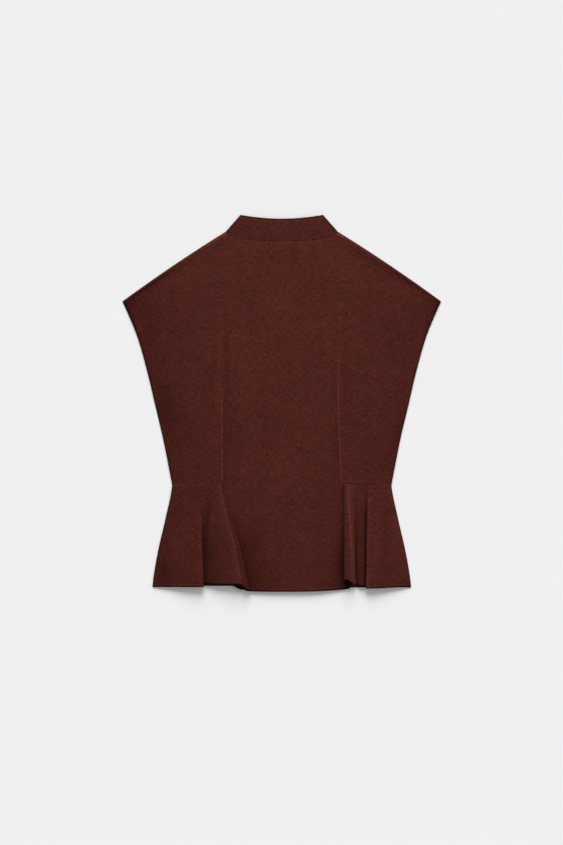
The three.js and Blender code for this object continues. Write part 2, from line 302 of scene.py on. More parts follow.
# A round roll, a trough and a flat fold.
RIGHT = Side(
    name="right",
    sign=1,
    waist_y=-130.8,
    dart_x=97,
    bend=0.7,
    dart_top=0.57,
    dart_highlight=0.7,
    seam_x=108,
    seam_hem_y=-300.5,
    front_hem_y=-298.3,
    tuck=0,
    side_painted_light=0.32,
    folds=(
        Fold(
            waist=100, hem=101, run=0.02, turn=176, ply=3, hidden=0.8, nose=4.6,
            low=3.1, low_y=-300, top_y=-285.5, drop=1.7,
            shade=Shade(painted_shade=0.56, reach=14, edge=0.1, painted_light=0.48, crest=12),
        ),
        Fold(
            waist=117, hem=121, run=0.3, low=3.2, low_y=-294.5, top_y=-294.5, crest=2.4, crest_at=0.27,
            shade=Shade(painted_shade=0.85, reach=2),
        ),
        Fold(
            waist=139, hem=136, opens=0.03, run=0.14, turn=178, ply=10, hidden=1, nose=1.6,
            low=2.1, low_y=-299.4, top_y=-299.6, shade=Shade(painted_shade=0.85, reach=4, painted_light=0.26),
        ),
    ),
)
SIDES = (LEFT, RIGHT)


@dataclass(frozen=True)
class Crease:
    """A soft trough or ridge in the cloth, in millimetres; depth is negative for a trough."""

    x: float
    y: float
    length: float
    angle: float
    width: float
    depth: float

    def height(self, x: float, y: float) -> float:
        """Returns how much the crease lifts the cloth at a place."""
        turn = math.radians(self.angle)
        along = (x - self.x) * math.cos(turn) + (y - self.y) * math.sin(turn)
        across = (y - self.y) * math.cos(turn) - (x - self.x) * math.sin(turn)
        reach = 2 * along / self.length
        if abs(reach) >= 1:
            return 0.0
        return self.depth * (1 - reach * reach) ** 2 * bell(across, self.width)


BACK_CREASES = (
    Crease(-102, 40, 340, 89, 4.5, 0.8),
    Crease(-89, 40, 300, 91, 4, -0.9),
    Crease(-80, 94, 190, 91, 5, 0.4),
    Crease(-113, 62, 220, 88, 5, -0.35),
    Crease(91, 40, 300, 88, 3, 0.6),
    Crease(100, 56, 260, 91, 4, -0.75),
    Crease(73, 74, 170, 91, 5, 0.4),
    Crease(63, 98, 90, 94, 4, -0.5),
    Crease(112, 100, 150, 86, 6, 0.35),
    Crease(-186, -20, 170, -78, 19, -1),
    Crease(-150, -8, 90, -70, 9, 0.4),
    Crease(-216, 190, 130, 31, 7, -1.1),
    Crease(-176, 196, 120, 24, 9, 0.5),
    Crease(176, 211, 190, -31, 6, -0.9),
    Crease(206, 176, 110, -38, 9, 0.5),
    Crease(188, -48, 130, 77, 7, -0.7),
    Crease(168, 30, 110, 62, 10, 0.4),
    Crease(-77, -76, 120, 84, 12, -0.5),
    Crease(4, -116, 90, 8, 26, 0.45),
    Crease(-3, 160, 120, 85, 20, 0.35),
    Crease(-27, -22, 66, 88, 4, -0.4),
    Crease(-7, -24, 58, 93, 4, -0.4),
    Crease(-60, 44, 180, 90, 10, 0.35),
    Crease(-206, 120, 95, 62, 10, -0.4),
    Crease(208, 112, 85, -66, 9, 0.4),
    Crease(-46, -226, 90, 82, 12, -0.4),
    Crease(-18, -240, 100, 93, 13, 0.4),
    Crease(38, -236, 80, 86, 11, 0.35),
)
PEPLUM_CREASES = (
    Crease(-110, -184, 140, 80, 4, 0.9),
    Crease(-121, -184, 130, 83, 5, -1),
    Crease(-190, -276, 90, -62, 15, -0.9),
    Crease(-172, -226, 120, -80, 9, 0.45),
    Crease(-150, -170, 60, -82, 7, -0.3),
    Crease(152, -236, 110, 88, 5, 0.5),
    Crease(168, -244, 80, 84, 6, -0.35),
    Crease(178, -226, 130, 80, 17, 0.35),
    Crease(-92, -240, 90, -86, 7, 0.35),
)
FRONT_CREASES = (
    Crease(-164, 20, 110, 28, 9, 0.5),
    Crease(160, 36, 125, -22, 8, 0.45),
    Crease(-205, 128, 90, 60, 9, 0.4),
    Crease(202, 118, 100, -64, 10, 0.45),
    Crease(-60, -70, 95, 82, 8, 0.4),
    Crease(72, -84, 80, -86, 7, 0.4),
    Crease(-70, 150, 120, 75, 10, 0.35),
    Crease(84, 168, 100, -70, 9, 0.4),
    Crease(-98, -220, 90, 80, 9, 0.5),
    Crease(120, -236, 80, -78, 8, 0.45),
)

# Painted highlight that cloth gains on a crease's ridge, and painted shade that it gets in its trough, as a
# share of brightness for each millimetre.
CREASE_PAINTED_LIGHT = 0.2


@dataclass(frozen=True)
class Crumple:
    """Faint unevenness of the cloth, in millimetres; pattern picks its own place in the noise."""

    across: float
    along: float
    height: float
    pattern: float

    def at(self, x: float, y: float) -> float:
        """Returns how much it lifts the cloth at a place."""
        return noise.noise(Vector((x / self.across, y / self.along, self.pattern))) * self.height


FINE_CRUMPLE = Crumple(14, 9, 0.1, 4.2)
BROAD_CRUMPLE = Crumple(34, 26, 0.22, 9.1)
COLLAR_CRUMPLE = Crumple(16, 11, 0.14, 7)
GATHERS = Crumple(4.5, 1, 0.32, 3.3)
GATHER_REACH = 4


def relief(creases: tuple[Crease, ...], x: float, y: float) -> float:
    """Adds up the creases and the crumple of the cloth.

    Args:
        creases: The creases of this layer.
        x: Place across, in millimetres.
        y: Place along, in millimetres.

    Returns:
        Lift of the cloth in millimetres.
    """
    crumple = FINE_CRUMPLE.at(x, y) + BROAD_CRUMPLE.at(x, y)
    return sum(crease.height(x, y) for crease in creases) + crumple


def pucker(along: float, distance: float) -> float:
    """Returns the height of the small gathers along a seam, which fade away from it."""
    return Fade(GATHERS.at(along, 0), GATHER_REACH).at(distance)


@dataclass(frozen=True)
class Spot:
    """A point of the cloth: its place, its place on the flat cut, and how much lighter its painted light and
    shade make it.
    """

    place: Vector
    flat: Vector
    tone: float = 0.0


Row = list[Optional[Spot]]
Grid = list[Row]


def laid(x: float, y: float, z: float, tone: float) -> Spot:
    """Returns a point whose place on the flat cut is its place seen from above."""
    return Spot(Vector((x, y, z)), Vector((x, y)), tone)


def joined(left: list, right: list) -> list:
    """Joins two halves that count from the middle line and share its place."""
    return [*reversed(left[1:]), *right]


@dataclass(frozen=True)
class Cut:
    """Outline and levels of the laid-out top, in millimetres; X across, Y to the collar, Z up."""

    wall: float = 0.7
    seam: float = 0.12
    front_level: float = 0.42
    edge_level: float = 1.75
    puff: float = 3.2
    puff_reach: float = 70
    fold_press: float = 1.8
    neck_half: float = 91.5
    neck_power: float = 4
    neck_side_y: float = 277.5
    back_neck_y: float = 262.5
    front_neck_y: float = 250
    tip: tuple[float, float] = (258, 165)
    shoulder_bow: float = 2
    # Painted shade inside the shoulder seam, and the reach of the painted shade at the sleeve's tip.
    shoulder_painted_shade: Fade = Fade(-0.2, 7)
    tip_reach: float = 26
    strip_at_neck: float = 6
    strip_at_tip: float = 3.5
    strip_end: float = 0.15
    top_pull: int = 6
    waist_half: float = 177.5
    waist_side_y: float = -132
    hem_lowest_y: float = -305
    hem_side: tuple[float, float] = (209.3, -297.5)
    hem_band: float = 5

    @property
    def side_edge(self) -> list[tuple[float, float]]:
        """Returns the side from waist to sleeve tip."""
        waist = (self.waist_half, self.waist_side_y)
        return [waist, (190.8, -64), (204.3, -6), (218, 52), (235, 110.6), self.tip]

    @property
    def peplum_edge(self) -> list[tuple[float, float]]:
        """Returns the side from waist to hem."""
        return [(self.waist_half, self.waist_side_y), (188.4, -177), (200.9, -237), self.hem_side]

    @property
    def neck_point(self) -> Vector:
        """Returns the outer end of the neck seam."""
        return Vector((self.neck_half, self.neck_side_y))

    @property
    def shoulder_out(self) -> Vector:
        """Returns the way out of the garment across the shoulder."""
        run = Vector(self.tip) - self.neck_point
        return Vector((-run.y, run.x)).normalized()

    @property
    def roll(self) -> float:
        """Returns the radius of the bend over the shoulder."""
        return (self.edge_level - self.front_level) / 2

    @property
    def inset(self) -> float:
        """Returns how far inside the outline the bend over the shoulder begins."""
        return self.roll + self.wall / 2

    def shoulder(self, along: float) -> Vector:
        """Returns the outline's point a share of the way from neck to sleeve tip."""
        bow = 4 * self.shoulder_bow * along * (1 - along)
        return self.neck_point.lerp(Vector(self.tip), along) + self.shoulder_out * bow

    def neck_y(self, half: float, lowest: float) -> float:
        """Returns how high the neck seam is at a distance from the middle."""
        return lowest + (self.neck_side_y - lowest) * (half / self.neck_half) ** self.neck_power

    def strip_width(self, along: float) -> float:
        """Returns how far the front shows beside the shoulder."""
        return lerp(self.strip_at_neck, self.strip_at_tip, along)

    def strip(self, along: float, width: float) -> Vector:
        """Finds a point of the strip that shows beside the shoulder.

        Args:
            along: Share of the way from neck to sleeve tip.
            width: How far inside the outline it lies.

        Returns:
            The point seen from above; near the neck it lies along the neck seam.
        """
        slope = self.neck_power * (self.neck_side_y - self.back_neck_y) / self.neck_half
        neckward = Vector((-1, -slope)).normalized()
        direction = neckward.lerp(-self.shoulder_out, clamp01(along / self.strip_end)).normalized()
        return self.shoulder(along) + direction * width

    def half_width(self, y: float) -> float:
        """Returns the outline's distance from the middle at a height of the picture."""
        edge = self.side_edge if y > self.waist_side_y else self.peplum_edge
        return spline(edge, (y - edge[0][1]) / (edge[-1][1] - edge[0][1])).x

    def back_level(self, half: float, y: float) -> float:
        """Returns the back's height, lowest along the side and shoulder seams."""
        to_side = clamp01((self.half_width(y) - half) / self.puff_reach)
        to_shoulder = self.shoulder_gap(half, y) / self.puff_reach
        return self.edge_level + self.puff * smooth(to_side) * smooth(to_shoulder)

    def shoulder_gap(self, half: float, y: float) -> float:
        """Returns how far inside the shoulder a place lies."""
        return (self.neck_point - Vector((half, y))).dot(self.shoulder_out)

    def sleeve_painted_shade(self, side: Side, half: float, y: float) -> float:
        """Returns the painted shade on the cloth that hollows beside the shoulder and at the sleeve's tip.
        """
        tip_painted_shade = Fade(-side.tip_painted_shade, self.tip_reach)
        to_tip = (Vector(self.tip) - Vector((half, y))).length
        return self.shoulder_painted_shade.at(self.shoulder_gap(half, y)) + tip_painted_shade.at(to_tip)

    def waist_y(self, side: Side, half: float) -> float:
        """Returns the waist line's place along Y."""
        if half > side.dart_x:
            share = (half - side.dart_x) / (self.waist_half - side.dart_x)
            return lerp(side.waist_y, self.waist_side_y, share)
        return lerp((LEFT.waist_y + RIGHT.waist_y) / 2, side.waist_y, half / side.dart_x)

    def dart_line(self, side: Side, up: float, top: Vector) -> Vector:
        """Returns the point of the dart's line between the waist (0) and the top row (1)."""
        return Vector((lerp(side.dart_x, top.x, up**side.bend), lerp(side.waist_y, top.y, up)))

    def flank(self, side: Side, out: float, up: float, top_row: Callable[[float], Vector]) -> Vector:
        """Finds a point between the dart's line and the side edge.

        Args:
            side: Which side.
            out: Share of the way out to the side edge.
            up: Share of the way up from the waist.
            top_row: Line on which the top row has to lie.

        Returns:
            The point seen from above.
        """
        inner = self.dart_line(side, up, top_row(0))
        point = inner.lerp(spline(self.side_edge, up), out)
        pull = top_row(out) - top_row(0).lerp(Vector(self.tip), out)
        return point + pull * up**self.top_pull

    def seam_foot(self, side: Side, down: float) -> Vector:
        """Returns the seam between the middle of the back and the peplum."""
        x = lerp(side.dart_x, side.seam_x, down)
        y = lerp(side.waist_y, side.seam_hem_y, down)
        return Vector((x, y, self.middle_level(side, 1, down)))

    def middle_level(self, side: Side, out: float, down: float) -> float:
        """Returns the height of the back's middle below the waist, which its outer half presses down."""
        half = side.dart_x * out
        press = self.fold_press * down * smooth((out - 0.5) / 0.5)
        return self.back_level(half, self.waist_y(side, half)) - press


CUT = Cut()
# How the cloth rolls down towards its seams and edges.
SEAM_ROLL = Slope(-0.24, 1.6)
NECK_ROLL = Slope(-0.12, 1.6)
SIDE_ROLL = Slope(-0.35, 2.2)
STRIP_ROLL = Slope(-0.3, 1.2)
HEM_ROLL = Slope(-0.3, 1.4)
COLLAR_ROLL = Slope(-0.2, 1.4)
# Painted light beside a seam: painted shade in the join, and a painted highlight on the ridge beside it.
SEAM_SHADOW = Slope(-0.12, 1.2)
SEAM_HIGHLIGHT = Line(0.12, 2.4, 1.2)
# Painted light inside an outer edge: painted shade over the rim's width, and a painted highlight line one
# step further in.
SIDE_RIM = 3.0
HEM_RIM = 4.2
RIM_PAINTED_SHADE = -0.42
RIM_LIGHT = 0.06
RIM_STEP = 1
RIM_SPREAD = 1.2
# A dart's groove, its ridge, the place and width of the painted highlight on its edge, and the painted shade
# on its inner side.
DART_GROOVE = Line(-0.55, 0, 0.9)
DART_RIDGE = Line(0.45, 2.2, 1.3)
DART_HIGHLIGHT_PLACE = -0.3
DART_HIGHLIGHT_WIDTH = 1.1
DART_PAINTED_SHADE = Fade(-0.2, 5)
DART_SHADE_START = -1
DART_SHADE_END = Slope(1, 0.8)
DART_SHADE_END_START = -1.4
# Depth and width of the groove that a hem's stitches press.
STITCH_GROOVE_DEPTH = -0.22
STITCH_GROOVE_WIDTH = 0.8
# Extra rows and columns, as distances from a flat join, a side or seam, a dart's line and a hem.
JOIN_ROWS = (0.6, 1.4)
SIDE_ROWS = (0.6, 1.4, 2.6)
DART_ROWS = (0.5, 1.1, 1.8, 2.8, 4.0)
HEM_ROWS = (0.6, 1.4, 3.6, 4.4, 5.0, 5.6, 6.4)
# Row of a hem's stitches, counted from its edge.
STITCH_ROW = 4


def seam_painted_light(distance: float) -> float:
    """Returns the painted shade and painted highlight at a distance from a seam."""
    return SEAM_HIGHLIGHT.at(distance) + SEAM_SHADOW.at(distance)


def rim(distance: float, width: float = SIDE_RIM) -> float:
    """Returns the painted shade and painted highlight at a distance from an outer edge."""
    return Line(RIM_LIGHT, width + RIM_STEP, RIM_SPREAD).at(distance) + Slope(RIM_PAINTED_SHADE, width).at(distance)


def dart_profile(offset: float) -> float:
    """Returns the height of a dart's groove and of the ridge beside it at a distance from its line."""
    return DART_GROOVE.at(offset) + DART_RIDGE.at(offset)


def dart_tone(offset: float, highlight_strength: float) -> float:
    """Returns the painted light beside a dart: a painted highlight on its outer side, painted shade on its
    inner side.
    """
    painted_shade = DART_PAINTED_SHADE.at(DART_SHADE_START - offset) * DART_SHADE_END.at(offset - DART_SHADE_END_START)
    return Line(highlight_strength, DART_HIGHLIGHT_PLACE, DART_HIGHLIGHT_WIDTH).at(offset) + painted_shade


def hem_line(distance: float, band: float) -> float:
    """Returns the height of a stitched hem: rolled at its edge, grooved along its stitches."""
    return HEM_ROLL.at(distance) + Line(STITCH_GROOVE_DEPTH, band, STITCH_GROOVE_WIDTH).at(distance)


@dataclass(frozen=True)
class PaintedFalloff:
    """Painted shade over the garment, a little deeper towards the hem and the sides, where less light falls.
    """

    down: float = 0.18
    start_y: float = 240
    even_y: float = 130
    height: float = 480
    left: float = 0.13
    right: float = 0.09
    half_width: float = 180
    furthest: float = 1.2

    def at(self, x: float, y: float) -> float:
        """Returns the painted shade at a place of the laid-out top."""
        down = clamp01((self.start_y - min(y, self.even_y)) / self.height)
        out = min(abs(x) / self.half_width, self.furthest)
        return -self.down * down - (self.left if x < 0 else self.right) * out**2


PAINTED_FALLOFF = PaintedFalloff()


def add_object(name: str, mesh_data: bmesh.types.BMesh, material: bpy.types.Material) -> bpy.types.Object:
    """Puts a finished mesh into the scene.

    Args:
        name: Name of the mesh and of its object.
        mesh_data: The mesh, which is freed here.
        material: Its finish.

    Returns:
        The new object.
    """
    mesh = bpy.data.meshes.new(name)
    mesh_data.to_mesh(mesh)
    mesh_data.free()
    mesh.materials.append(material)
    piece = bpy.data.objects.new(name, mesh)
    bpy.context.scene.collection.objects.link(piece)
    return piece


class Shell:
    """Turns a grid of cloth points into a thin closed shell."""

    def __init__(self, name: str, grid: Grid, wall: float) -> None:
        """Keeps what the shell is made from.

        Args:
            name: Name of the piece.
            grid: Rows of points; places with none stay open.
            wall: Thickness of the cloth in millimetres.
        """
        self.name, self.grid, self.wall = name, grid, wall

    def build(self, material: bpy.types.Material) -> bpy.types.Object:
        """Makes the mesh and its object.

        Args:
            material: Finish of the cloth.

        Returns:
            The new object, in metres.
        """
        rows, columns = len(self.grid), len(self.grid[0])
        mesh_data = bmesh.new()
        bmesh.ops.create_grid(mesh_data, x_segments=columns - 1, y_segments=rows - 1, size=1)
        flat = mesh_data.loops.layers.uv.new(FLAT_CUT)
        tone = mesh_data.verts.layers.float.new(PAINTED_LIGHT_TONE)
        spots: dict[bmesh.types.BMVert, Spot] = {}
        open_places = []
        for vert in mesh_data.verts:
            column = round((vert.co.x + 1) / 2 * (columns - 1))
            row = round((vert.co.y + 1) / 2 * (rows - 1))
            spot = self.grid[row][column]
            if spot is None:
                open_places.append(vert)
                continue
            spots[vert] = spot
            vert.co = spot.place * MM
            # The tone holds the point's painted light and shade, with the painted shade towards the hem and
            # the sides.
            vert[tone] = spot.tone + PAINTED_FALLOFF.at(spot.place.x, spot.place.y)
        bmesh.ops.delete(mesh_data, geom=open_places, context="VERTS")
        for face in mesh_data.faces:
            face.smooth = True
            for loop in face.loops:
                loop[flat].uv = spots[loop.vert].flat * MM
        mesh_data.normal_update()
        if sum(face.normal.z * face.calc_area() for face in mesh_data.faces) < 0:
            bmesh.ops.reverse_faces(mesh_data, faces=mesh_data.faces)
        piece = add_object(self.name, mesh_data, material)
        thickness = piece.modifiers.new("cloth thickness", "SOLIDIFY")
        thickness.thickness = self.wall * MM
        thickness.offset = 0
        return piece

    def flat_size(self) -> tuple[tuple[float, float], float]:
        """Measures the cut of the piece laid out flat.

        Returns:
            Its width and length, and its area, in metres.
        """
        width = max(self._run(row) for row in self.grid)
        length = max(self._run(list(column)) for column in zip(*self.grid))
        area = 0.0
        for below, above in zip(self.grid, self.grid[1:]):
            for a, b, c, d in zip(below, below[1:], above[1:], above):
                if a and b and c and d:
                    area += (c.place - a.place).cross(d.place - b.place).length / 2
        return (width * MM, length * MM), area * MM * MM

    @staticmethod
    def _run(spots: Row) -> float:
        """Returns the length of cloth along one line of points."""
        return sum((b.place - a.place).length for a, b in zip(spots, spots[1:]) if a and b)


@dataclass(frozen=True)
class StitchLine:
    """A row of small stitches on the face of the cloth, in millimetres."""

    length: float = 2.2
    gap: float = 0.7
    thick: float = 0.42
    lift: float = 0.05

    def path(self, spots: Iterable[Optional[Spot]]) -> list[Vector]:
        """Lifts a line of points from the middle of the cloth to just above its upper face."""
        return [spot.place + Vector((0, 0, CUT.wall / 2 + self.lift)) for spot in spots if spot]

    def sew(self, mesh_data: bmesh.types.BMesh, spots: Iterable[Optional[Spot]]) -> None:
        """Lays stitches along a line.

        Args:
            mesh_data: Mesh that the stitches are added to.
            spots: Points of the cloth on the line.
        """
        path = self.path(spots)
        pitch = self.length + self.gap
        shape = Matrix.Diagonal((self.length / 2, self.thick / 2, self.thick / 2, 1))
        travelled = 0.0
        due = pitch / 2
        for start, end in zip(path, path[1:]):
            step = (end - start).length
            while travelled + step >= due > travelled and step > 0:
                centre = start.lerp(end, (due - travelled) / step)
                turn = (end - start).to_track_quat("X", "Z").to_matrix().to_4x4()
                placed = Matrix.Scale(MM, 4) @ Matrix.Translation(centre) @ turn @ shape
                bmesh.ops.create_icosphere(mesh_data, subdivisions=1, radius=1, matrix=placed)
                due += pitch
            travelled += step


class ClothPart:
    """A sewn piece: its shell, its stitches, and what it lies on."""

    name = ""
    creases: tuple[Crease, ...] = ()

    def grid(self) -> Grid:
        """Returns the piece's points."""
        raise NotImplementedError

    def stitched(self, grid: Grid) -> Row:
        """Returns the points along the piece's stitches, or none."""
        return []

    def rests_on(self) -> list[str]:
        """Returns the names of what the piece lies on."""
        return ["floor"]

    def make(self, cloth: bpy.types.Material, thread: bpy.types.Material) -> None:
        """Args:
            cloth: Finish of the cloth.
            thread: Finish of the stitches.
        """
        grid = self.grid()
        shell = Shell(f"{self.name}_cloth", grid, CUT.wall)
        piece = shell.build(cloth)
        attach(piece, BODY)
        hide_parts(self.name)
        flat, area = shell.flat_size()
        self._stitches(self.stitched(grid), thread)
        LOG.info("%s: cut %.0f x %.0f mm, %.4f square metres", self.name, flat[0] / MM, flat[1] / MM, area)

    def _stitches(self, spots: Row, thread: bpy.types.Material) -> list[bpy.types.Object]:
        """Sews the piece's stitch line as one mesh."""
        if not spots:
            return []
        mesh_data = bmesh.new()
        StitchLine().sew(mesh_data, spots)
        for face in mesh_data.faces:
            face.smooth = True
        piece = add_object(f"{self.name}_stitches", mesh_data, thread)
        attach(piece, BODY)
        return [piece]


@dataclass
class SidePart(ClothPart):
    """A sewn piece of one side."""

    side: Side
    layer = ""

    def __post_init__(self) -> None:
        """Names the piece after its layer and its side."""
        self.name = f"{self.layer}_{self.side.name}"


@dataclass
class BackBody(ClothPart):
    """The back panel: middle from neck to hem, flanks down to the waist seam, two darts."""

    name: str = "back_body"
    stride: float = 4
    creases: tuple[Crease, ...] = BACK_CREASES
    # How many times over a dart's depth is reached on its length.
    dart_onset: float = 2.5
    # How the hem bows, and where it draws up beyond the first fold, in millimetres.
    hem_bow: int = 3
    tuck_start: float = 2
    tuck_run: float = 18
    # From where to the peplum's seam the cloth lies flat, and the soft waves above the hem.
    calm_from: float = 0.7
    wave_height: float = 0.5
    wave_length: float = 31
    wave_start: float = 0.8
    # How the painted shade beside the first fold grows on the way down, and its least reach.
    shade_from: float = 0.1
    shade_run: float = 0.7
    shade_least: float = 2

    def middle(self, side: Side) -> list[float]:
        """Returns the columns from the middle line to the dart."""
        return fractions(side.dart_x, self.stride, (), DART_ROWS)

    def flank(self, side: Side) -> list[float]:
        """Returns the columns from just beyond the dart to the side edge."""
        return fractions(CUT.waist_half - side.dart_x, self.stride, DART_ROWS, SIDE_ROWS)[1:]

    def upper_half(self, side: Side, up: float) -> list[Spot]:
        """Returns one side's half of a row above the waist."""

        def top(out: float) -> Vector:
            """Returns the point of the top row a share of the way out to the sleeve's tip."""
            return CUT.strip(out, CUT.strip_width(out) + CUT.seam)

        spots = []
        edge = CUT.dart_line(side, up, top(0))
        height = CUT.neck_side_y - side.waist_y
        dart = smooth((side.dart_top - up) / side.dart_top * self.dart_onset)
        to_waist, to_top = up * height, (1 - up) * height
        for out in self.middle(side):
            half = edge.x * out
            y = lerp(CUT.waist_y(side, half), CUT.neck_y(top(0).x * out, CUT.back_neck_y), up)
            z = CUT.back_level(half, y) + NECK_ROLL.at(to_top) + dart * dart_profile(half - edge.x)
            tone = seam_painted_light(to_top) + dart * dart_tone(half - edge.x, side.dart_highlight)
            spots.append(self.spot(half * side.sign, y, z, tone))
        for out in self.flank(side):
            point = CUT.flank(side, out, up, top)
            to_side = (1 - out) * (CUT.waist_half - side.dart_x)
            rolled = SEAM_ROLL.at(to_waist) + SEAM_ROLL.at(to_top) + SIDE_ROLL.at(to_side)
            gathers = pucker(point.x, to_waist) + pucker(point.x, to_top)
            z = CUT.back_level(point.x, point.y) + rolled + gathers + dart * dart_profile(point.x - edge.x)
            tone = seam_painted_light(to_waist) + seam_painted_light(to_top) + rim(to_side) + CUT.sleeve_painted_shade(side, point.x, point.y)
            tone += dart * dart_tone(point.x - edge.x, side.dart_highlight)
            spots.append(self.spot(point.x * side.sign, point.y, z, tone))
        return spots

    def tail_half(self, side: Side, down: float) -> list[Spot]:
        """Returns one side's half of a row below the waist."""
        spots = []
        foot = CUT.seam_foot(side, down)
        to_hem = (1 - down) * (side.waist_y - side.seam_hem_y)
        for out in self.middle(side):
            half = foot.x * out
            beyond = side.seam_x * out - side.folds[0].hem - self.tuck_start
            hem_y = lerp(CUT.hem_lowest_y, side.seam_hem_y, out**self.hem_bow)
            hem_y += side.tuck * smooth(beyond / self.tuck_run)
            y = lerp(CUT.waist_y(side, side.dart_x * out), hem_y, down)
            calm = 1 - smooth((out - self.calm_from) / (1 - self.calm_from))
            wave = self.wave_height * math.sin(half * side.sign / self.wave_length + self.wave_start)
            z = CUT.middle_level(side, out, down) + SEAM_ROLL.at((1 - out) * foot.x)
            z += hem_line(to_hem, CUT.hem_band) + wave * smooth((down - 0.5) * 2) * calm
            tone = rim(to_hem, HEM_RIM) + self.fold_painted_shade(side, half, down)
            spots.append(self.spot(half * side.sign, y, z, tone, calm))
        return spots

    def fold_painted_shade(self, side: Side, half: float, down: float) -> float:
        """Returns the painted shade on the middle beside the peplum's first fold."""
        fold = side.folds[0]
        grown = smooth((down - self.shade_from) / self.shade_run)
        painted_shade = Fade(-fold.shade.painted_shade * grown, fold.shade.reach * down + self.shade_least)
        return painted_shade.at(fold.nose_x(down) - half)

    def spot(self, x: float, y: float, z: float, tone: float, calm: float = 1) -> Spot:
        """Returns a point of the cloth, whose place on the cut is its place seen from above.

        Args:
            x: Place across.
            y: Place along.
            z: Height of the smooth cloth.
            tone: Its painted light and shade without that of the creases.
            calm: Share of the creases' height that it takes.

        Returns:
            The point with its creases.
        """
        rise = relief(self.creases, x, y) * calm
        return laid(x, y, z + rise, tone + rise * CREASE_PAINTED_LIGHT)

    def grid(self) -> Grid:
        """Returns rows from the hem up to the neck and shoulders."""
        downs = fractions(LEFT.waist_y - LEFT.seam_hem_y, self.stride, (), HEM_ROWS)[1:]
        ups = fractions(CUT.neck_side_y - LEFT.waist_y, self.stride, SIDE_ROWS, SIDE_ROWS)
        rows: Grid = []
        for down in reversed(downs):
            halves = ([*self.tail_half(side, down), *[None] * len(self.flank(side))] for side in SIDES)
            rows.append(joined(*halves))
        for up in ups:
            rows.append(joined(*(self.upper_half(side, up) for side in SIDES)))
        return rows

    def stitched(self, grid: Grid) -> Row:
        """Returns the points of the groove above the fold of the hem."""
        return grid[STITCH_ROW]

    def rests_on(self) -> list[str]:
        """Returns the front pieces under the back."""
        layers = ("front_body", "front_peplum")
        return [f"{layer}_{side.name}_cloth" for side in SIDES for layer in layers]


# How the front's sides lift off the floor, and how far inside them it has its full unevenness.
SIDE_LIFT = Slope(0.25, 2.2)
SIDE_CALM = 25


